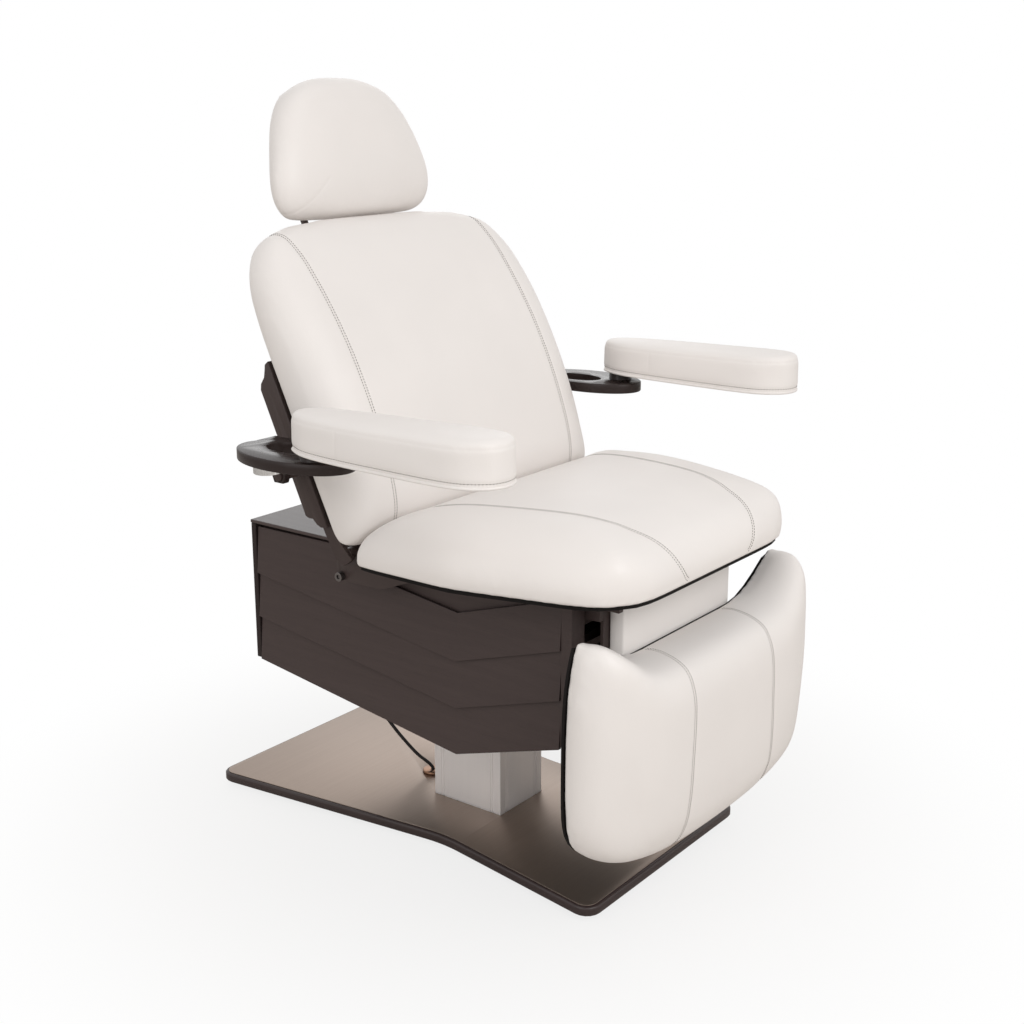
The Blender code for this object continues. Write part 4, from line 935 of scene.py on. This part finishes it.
def lead():
    """The power lead: up out of the gland, in one slack curve into the control box."""
    corners = [Vector((x, y + COLUMN_Y, z)) for x, y, z in LEAD]
    slack, _ = even(corners, LEAD_PITCH)
    for _ in range(LEAD_EASE):
        slack[2:-2] = 0.5 * slack[2:-2] + 0.25 * (slack[1:-3] + slack[3:-1])
    route = [Vector(place) for place in even(slack, 1.5 * LEAD_PITCH)[0]]
    shape = bpy.data.curves.new("power_lead", "CURVE")
    shape.dimensions = "3D"
    spline = shape.splines.new("POLY")
    spline.points.add(len(route) - 1)
    for point, place in zip(spline.points, route):
        point.co = (*place, 1.0)
    shape.bevel_depth = CORD_RADIUS
    shape.bevel_resolution = 4
    shape.use_fill_caps = True
    piece = bpy.data.objects.new("power_lead", shape)
    SCENE.collection.objects.link(piece)
    take(piece)
    bpy.ops.object.convert(target="MESH")
    piece = bpy.context.active_object
    modify(piece, "WELD", merge_threshold=MERGE)
    smooth(piece, 50.0)
    wear(piece, RUBBER, "power_lead")
    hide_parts("power_cord")
    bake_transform(piece)


# Hard pieces
def dressed(node, finish, body, slot, edge=0.0008, degrees=32.0):
    """A hard node's own form with broken edges and smooth rounds."""
    piece = node_copy(node, f"{node}_finished")
    break_edges(piece, edge)
    smooth(piece, degrees)
    wear(piece, finish, f"{node}_finished")
    return settle(piece, body, slot, node)


def plain(node, finish, edge=0.0006):
    """A node that shows as it is: its finish, and live modifiers that break its edges."""
    piece = NODES[node]
    piece.data.materials.clear()
    piece.data.materials.append(finish)
    weld = piece.modifiers.new("weld", "WELD")
    weld.merge_threshold = MERGE
    bevel = piece.modifiers.new("edges", "BEVEL")
    bevel.width = edge
    bevel.segments = 2
    bevel.limit_method = "ANGLE"
    bevel.angle_limit = math.radians(30.0)
    bevel.harden_normals = False


def knob(side):
    """A flat hand knob with a knurled rim under the arm plate."""
    low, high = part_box(f"arm_knob_{side}")
    middle = (low + high) / 2.0
    radius = (high.x - low.x) / 2.0 - KNOB_MARGIN
    deselect()
    bpy.ops.mesh.primitive_cylinder_add(
        vertices=72, radius=radius, depth=high.z - low.z, location=middle
    )
    piece = bpy.context.active_object
    bpy.ops.object.transform_apply(location=True, rotation=True, scale=True)
    for face in piece.data.polygons:
        face.select = abs(face.normal.z) < 0.5 and face.index % 2 == 0
    bpy.ops.object.mode_set(mode="EDIT")
    bpy.ops.mesh.select_mode(type="FACE")
    bpy.ops.mesh.inset(thickness=KNURL_GAP, use_individual=True)
    bpy.ops.mesh.extrude_faces_move(TRANSFORM_OT_shrink_fatten={"value": KNURL_HEIGHT})
    leave_edit()
    for face in piece.data.polygons:
        face.select = abs(face.normal.z) > 0.9 and face.area > 0.0005
    bpy.ops.object.mode_set(mode="EDIT")
    bpy.ops.mesh.inset(thickness=KNOB_RIM)
    bpy.ops.mesh.inset(thickness=KNOB_STEP, depth=-KNOB_DISH)
    leave_edit()
    break_edges(piece, 0.0002, 40.0, 1)
    smooth(piece, 28.0)
    wear(piece, CHROME, f"arm_knob_{side}_knurled")
    settle(piece, f"knob_{side}", "bright_chrome", f"arm_knob_{side}")


def cheek_bolt(side, sign):
    """A round-head bolt with a hexagon socket, on its washer."""
    low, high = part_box(f"cheek_bolt_{side}")
    middle = (low + high) / 2.0
    radius = (high.z - low.z) / 2.0
    deselect()
    bpy.ops.mesh.primitive_cylinder_add(
        vertices=36,
        radius=radius,
        depth=high.x - low.x,
        location=middle,
        rotation=(0.0, math.pi / 2.0, 0.0),
    )
    piece = bpy.context.active_object
    bpy.ops.object.transform_apply(location=True, rotation=True, scale=True)
    for face in piece.data.polygons:
        face.select = face.normal.x * sign > 0.9
    bpy.ops.object.mode_set(mode="EDIT")
    bpy.ops.mesh.select_mode(type="FACE")
    bpy.ops.mesh.inset(thickness=0.22 * radius)
    bpy.ops.mesh.inset(thickness=0.30 * radius)
    bpy.ops.mesh.inset(thickness=0.02 * radius, depth=-0.5 * radius)
    leave_edit()
    break_edges(piece, 0.05 * radius, 35.0)
    smooth(piece, 30.0)
    wear(piece, DARK_STEEL, f"cheek_bolt_{side}_head")
    settle(piece, "lift", "bright_chrome", f"cheek_bolt_{side}")


def column():
    """The fixed column: a drawn tube with a shallow groove beside each corner of its faces."""
    piece = node_copy("column_outer", "column_outer_grooved")
    low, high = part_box("column_outer")
    middle = (low + high) / 2.0
    half = (high - low) / 2.0
    cutters = []
    for across, face in ((0, 1), (1, 0)):
        for end in (-1.0, 1.0):
            for side in (-1.0, 1.0):
                place = middle.copy()
                place[across] += end * (half[across] - GROOVE_INSET)
                place[face] += side * half[face]
                deselect()
                bpy.ops.mesh.primitive_cube_add(size=1.0, location=place)
                cutter = bpy.context.active_object
                cutter.scale = (GROOVE_WIDTH, GROOVE_WIDTH, 3.0 * half.z)
                cutters.append(cutter)
    deselect()
    for cutter in cutters:
        cutter.select_set(True)
    bpy.context.view_layer.objects.active = cutters[0]
    bpy.ops.object.join()
    cutter = bpy.context.active_object
    bpy.ops.object.transform_apply(location=True, rotation=True, scale=True)
    modify(piece, "BOOLEAN", operation="DIFFERENCE", object=cutter, solver="EXACT")
    bpy.data.objects.remove(cutter)
    break_edges(piece, 0.0005)
    smooth(piece, 32.0)
    wear(piece, ALUMINIUM, "column_outer_grooved")
    settle(piece, "base", "silver_aluminium", "column_outer")


def hard_pieces():
    for side, sign in SIDES:
        dressed(f"arm_plate_{side}", PLATE_PAINT, f"arm_{side}", "dark_metal", 0.0006, 24.0)
        dressed(f"arm_rail_{side}", PAINT, "back", "dark_metal", 0.0010)
        dressed(f"headrest_post_{side}", PAINT, "headrest_slide", "dark_metal", 0.0006)
        dressed(f"recline_cheek_{side}", PAINT, "lift", "dark_metal", 0.0008)
        knob(side)
        cheek_bolt(side, sign)
        plain(f"cabinet_panel_{side}", ESPRESSO)
        for index in (1, 2, 3):
            plain(f"louvre_{side}_{index}", ESPRESSO)
    for index in (1, 2, 3, 4):
        dressed(f"levelling_foot_{index}", RUBBER, "base", "black_rubber")
    dressed("base_plate", EDGE_PAINT, "base", "dark_metal", 0.0015)
    dressed("base_sheet", BRONZE, "base", "bronze_sheet", 0.0004)
    dressed("cord_gland", COPPER, "base", "copper_gland", 0.0006)
    column()
    dressed("column_inner", ALUMINIUM, "lift", "silver_aluminium", 0.0008)
    dressed("headrest_hinge", PAINT, "headrest", "dark_metal", 0.0006)
    dressed("leg_panel", VINYL, "leg", "white_vinyl", 0.0010, 60.0)
    plain("column_guide", PLASTIC)
    plain("lift_motor", PLASTIC)
    plain("column_head_plate", STEEL)
    plain("cabinet_rear_panel", SHADED_REAR_WOOD)
    plain("cabinet_top_panel", LIT_TOP_WOOD)
    plain("cabinet_front_panel", ESPRESSO)
    plain("control_box", PLASTIC)
    plain("chassis_frame", PAINT)
    plain("seat_frame", PAINT)
    plain("leg_shaft", DARK_STEEL)
    plain("seat_board", BOARD)
    plain("back_board", BOARD)
    plain("back_frame", PAINT)
    plain("headrest_bracket", PAINT)
    plain("leg_frame", PAINT)
    plain("leg_rest_board", BOARD)
    plain("back_drive", PLASTIC)
    plain("leg_drive", PLASTIC)
    plain("back_rod", CHROME)
    plain("leg_rod", CHROME)


# Stage, light and camera
def camera():
    view = bpy.data.cameras.new("camera")
    view.lens = CAMERA_LENS
    view.sensor_width = 36.0
    view.clip_end = 60.0
    eye = bpy.data.objects.new("camera", view)
    SCENE.collection.objects.link(eye)
    eye.location = CAMERA_PLACE
    eye.rotation_euler = Vector(CAMERA_AIM).to_track_quat("-Z", "Y").to_euler()
    SCENE.camera = eye


def lamp(name, place, aim, size, power):
    light = bpy.data.lights.new(name, "AREA")
    light.shape = "RECTANGLE"
    light.size, light.size_y = size
    light.energy = power
    lit = bpy.data.objects.new(name, light)
    SCENE.collection.objects.link(lit)
    lit.location = place
    lit.rotation_euler = (Vector(aim) - Vector(place)).to_track_quat("-Z", "Y").to_euler()


def floor():
    deselect()
    bpy.ops.mesh.primitive_plane_add(size=30.0, location=(0.0, 0.0, 0.0))
    ground = bpy.context.active_object
    paper = bpy.data.materials.new("pale_floor")
    paper.use_nodes = True
    nodes = paper.node_tree.nodes
    links = paper.node_tree.links
    shader = nodes["Principled BSDF"]
    shader.inputs["Base Color"].default_value = (*FLOOR_TONE, 1.0)
    shader.inputs["Roughness"].default_value = 0.9
    shader.inputs["Specular IOR Level"].default_value = 0.0
    glow = nodes.new("ShaderNodeEmission")
    path = nodes.new("ShaderNodeLightPath")
    where = nodes.new("ShaderNodeTexCoord")
    far = nodes.new("ShaderNodeVectorMath")
    far.operation = "LENGTH"
    fade = nodes.new("ShaderNodeMapRange")
    fade.interpolation_type = "SMOOTHSTEP"
    fade.inputs["From Min"].default_value = SHADOW_NEAR
    fade.inputs["From Max"].default_value = SHADOW_FAR
    fade.inputs["To Min"].default_value = NEAR_GLOW
    fade.inputs["To Max"].default_value = 1.0
    share = nodes.new("ShaderNodeMath")
    share.operation = "MULTIPLY"
    mix = nodes.new("ShaderNodeMixShader")
    links.new(where.outputs["Object"], far.inputs[0])
    links.new(far.outputs["Value"], fade.inputs["Value"])
    links.new(fade.outputs[0], share.inputs[1])
    links.new(path.outputs["Is Camera Ray"], share.inputs[0])
    links.new(share.outputs[0], mix.inputs[0])
    links.new(shader.outputs[0], mix.inputs[1])
    links.new(glow.outputs[0], mix.inputs[2])
    links.new(mix.outputs[0], nodes["Material Output"].inputs["Surface"])
    wear(ground, paper, "pale_floor")


def sky():
    """White to the eye, in reflections and through clear parts, and dimmer as a light."""
    world = bpy.data.worlds.new("studio")
    SCENE.world = world
    world.use_nodes = True
    nodes = world.node_tree.nodes
    links = world.node_tree.links
    path = nodes.new("ShaderNodeLightPath")
    seen = nodes.new("ShaderNodeMath")
    seen.operation = "MAXIMUM"
    clear = nodes.new("ShaderNodeMath")
    clear.operation = "MAXIMUM"
    level = nodes.new("ShaderNodeMapRange")
    level.inputs["To Min"].default_value = SKY_LIGHT
    level.inputs["To Max"].default_value = 1.0
    links.new(path.outputs["Is Camera Ray"], seen.inputs[0])
    links.new(path.outputs["Is Glossy Ray"], seen.inputs[1])
    links.new(seen.outputs[0], clear.inputs[0])
    links.new(path.outputs["Is Transmission Ray"], clear.inputs[1])
    links.new(clear.outputs[0], level.inputs["Value"])
    sky_light = nodes["Background"]
    warmth = nodes.new("ShaderNodeMix")
    warmth.data_type = "RGBA"
    warmth.inputs[6].default_value = (*SKY_TINT, 1.0)
    warmth.inputs[7].default_value = (1.0, 1.0, 1.0, 1.0)
    links.new(clear.outputs[0], warmth.inputs[0])
    links.new(warmth.outputs[2], sky_light.inputs["Color"])
    links.new(level.outputs[0], sky_light.inputs["Strength"])


def light():
    lamp("key", (-0.75, -3.1, 2.45), (0.0, 0.0, 0.75), (2.6, 2.0), 51.0)
    lamp("top", (0.2, 0.2, 3.5), (0.0, 0.0, 0.5), (2.6, 2.6), 4.0)
    lamp("side", (-3.2, 0.2, 1.7), (0.0, 0.0, 0.6), (2.0, 2.0), 17.0)
    lamp("rim", (2.4, 2.2, 2.0), (0.0, 0.0, 0.7), (2.0, 2.0), 12.0)


SCENE.view_settings.view_transform = "Standard"
camera()
lead()
seat()
back()
leg_rest()
headrest()
for side_name, side_sign in SIDES:
    arm_pad(side_name, side_sign)
hard_pieces()
floor()
sky()
light()

deselect()
bpy.context.view_layer.update()
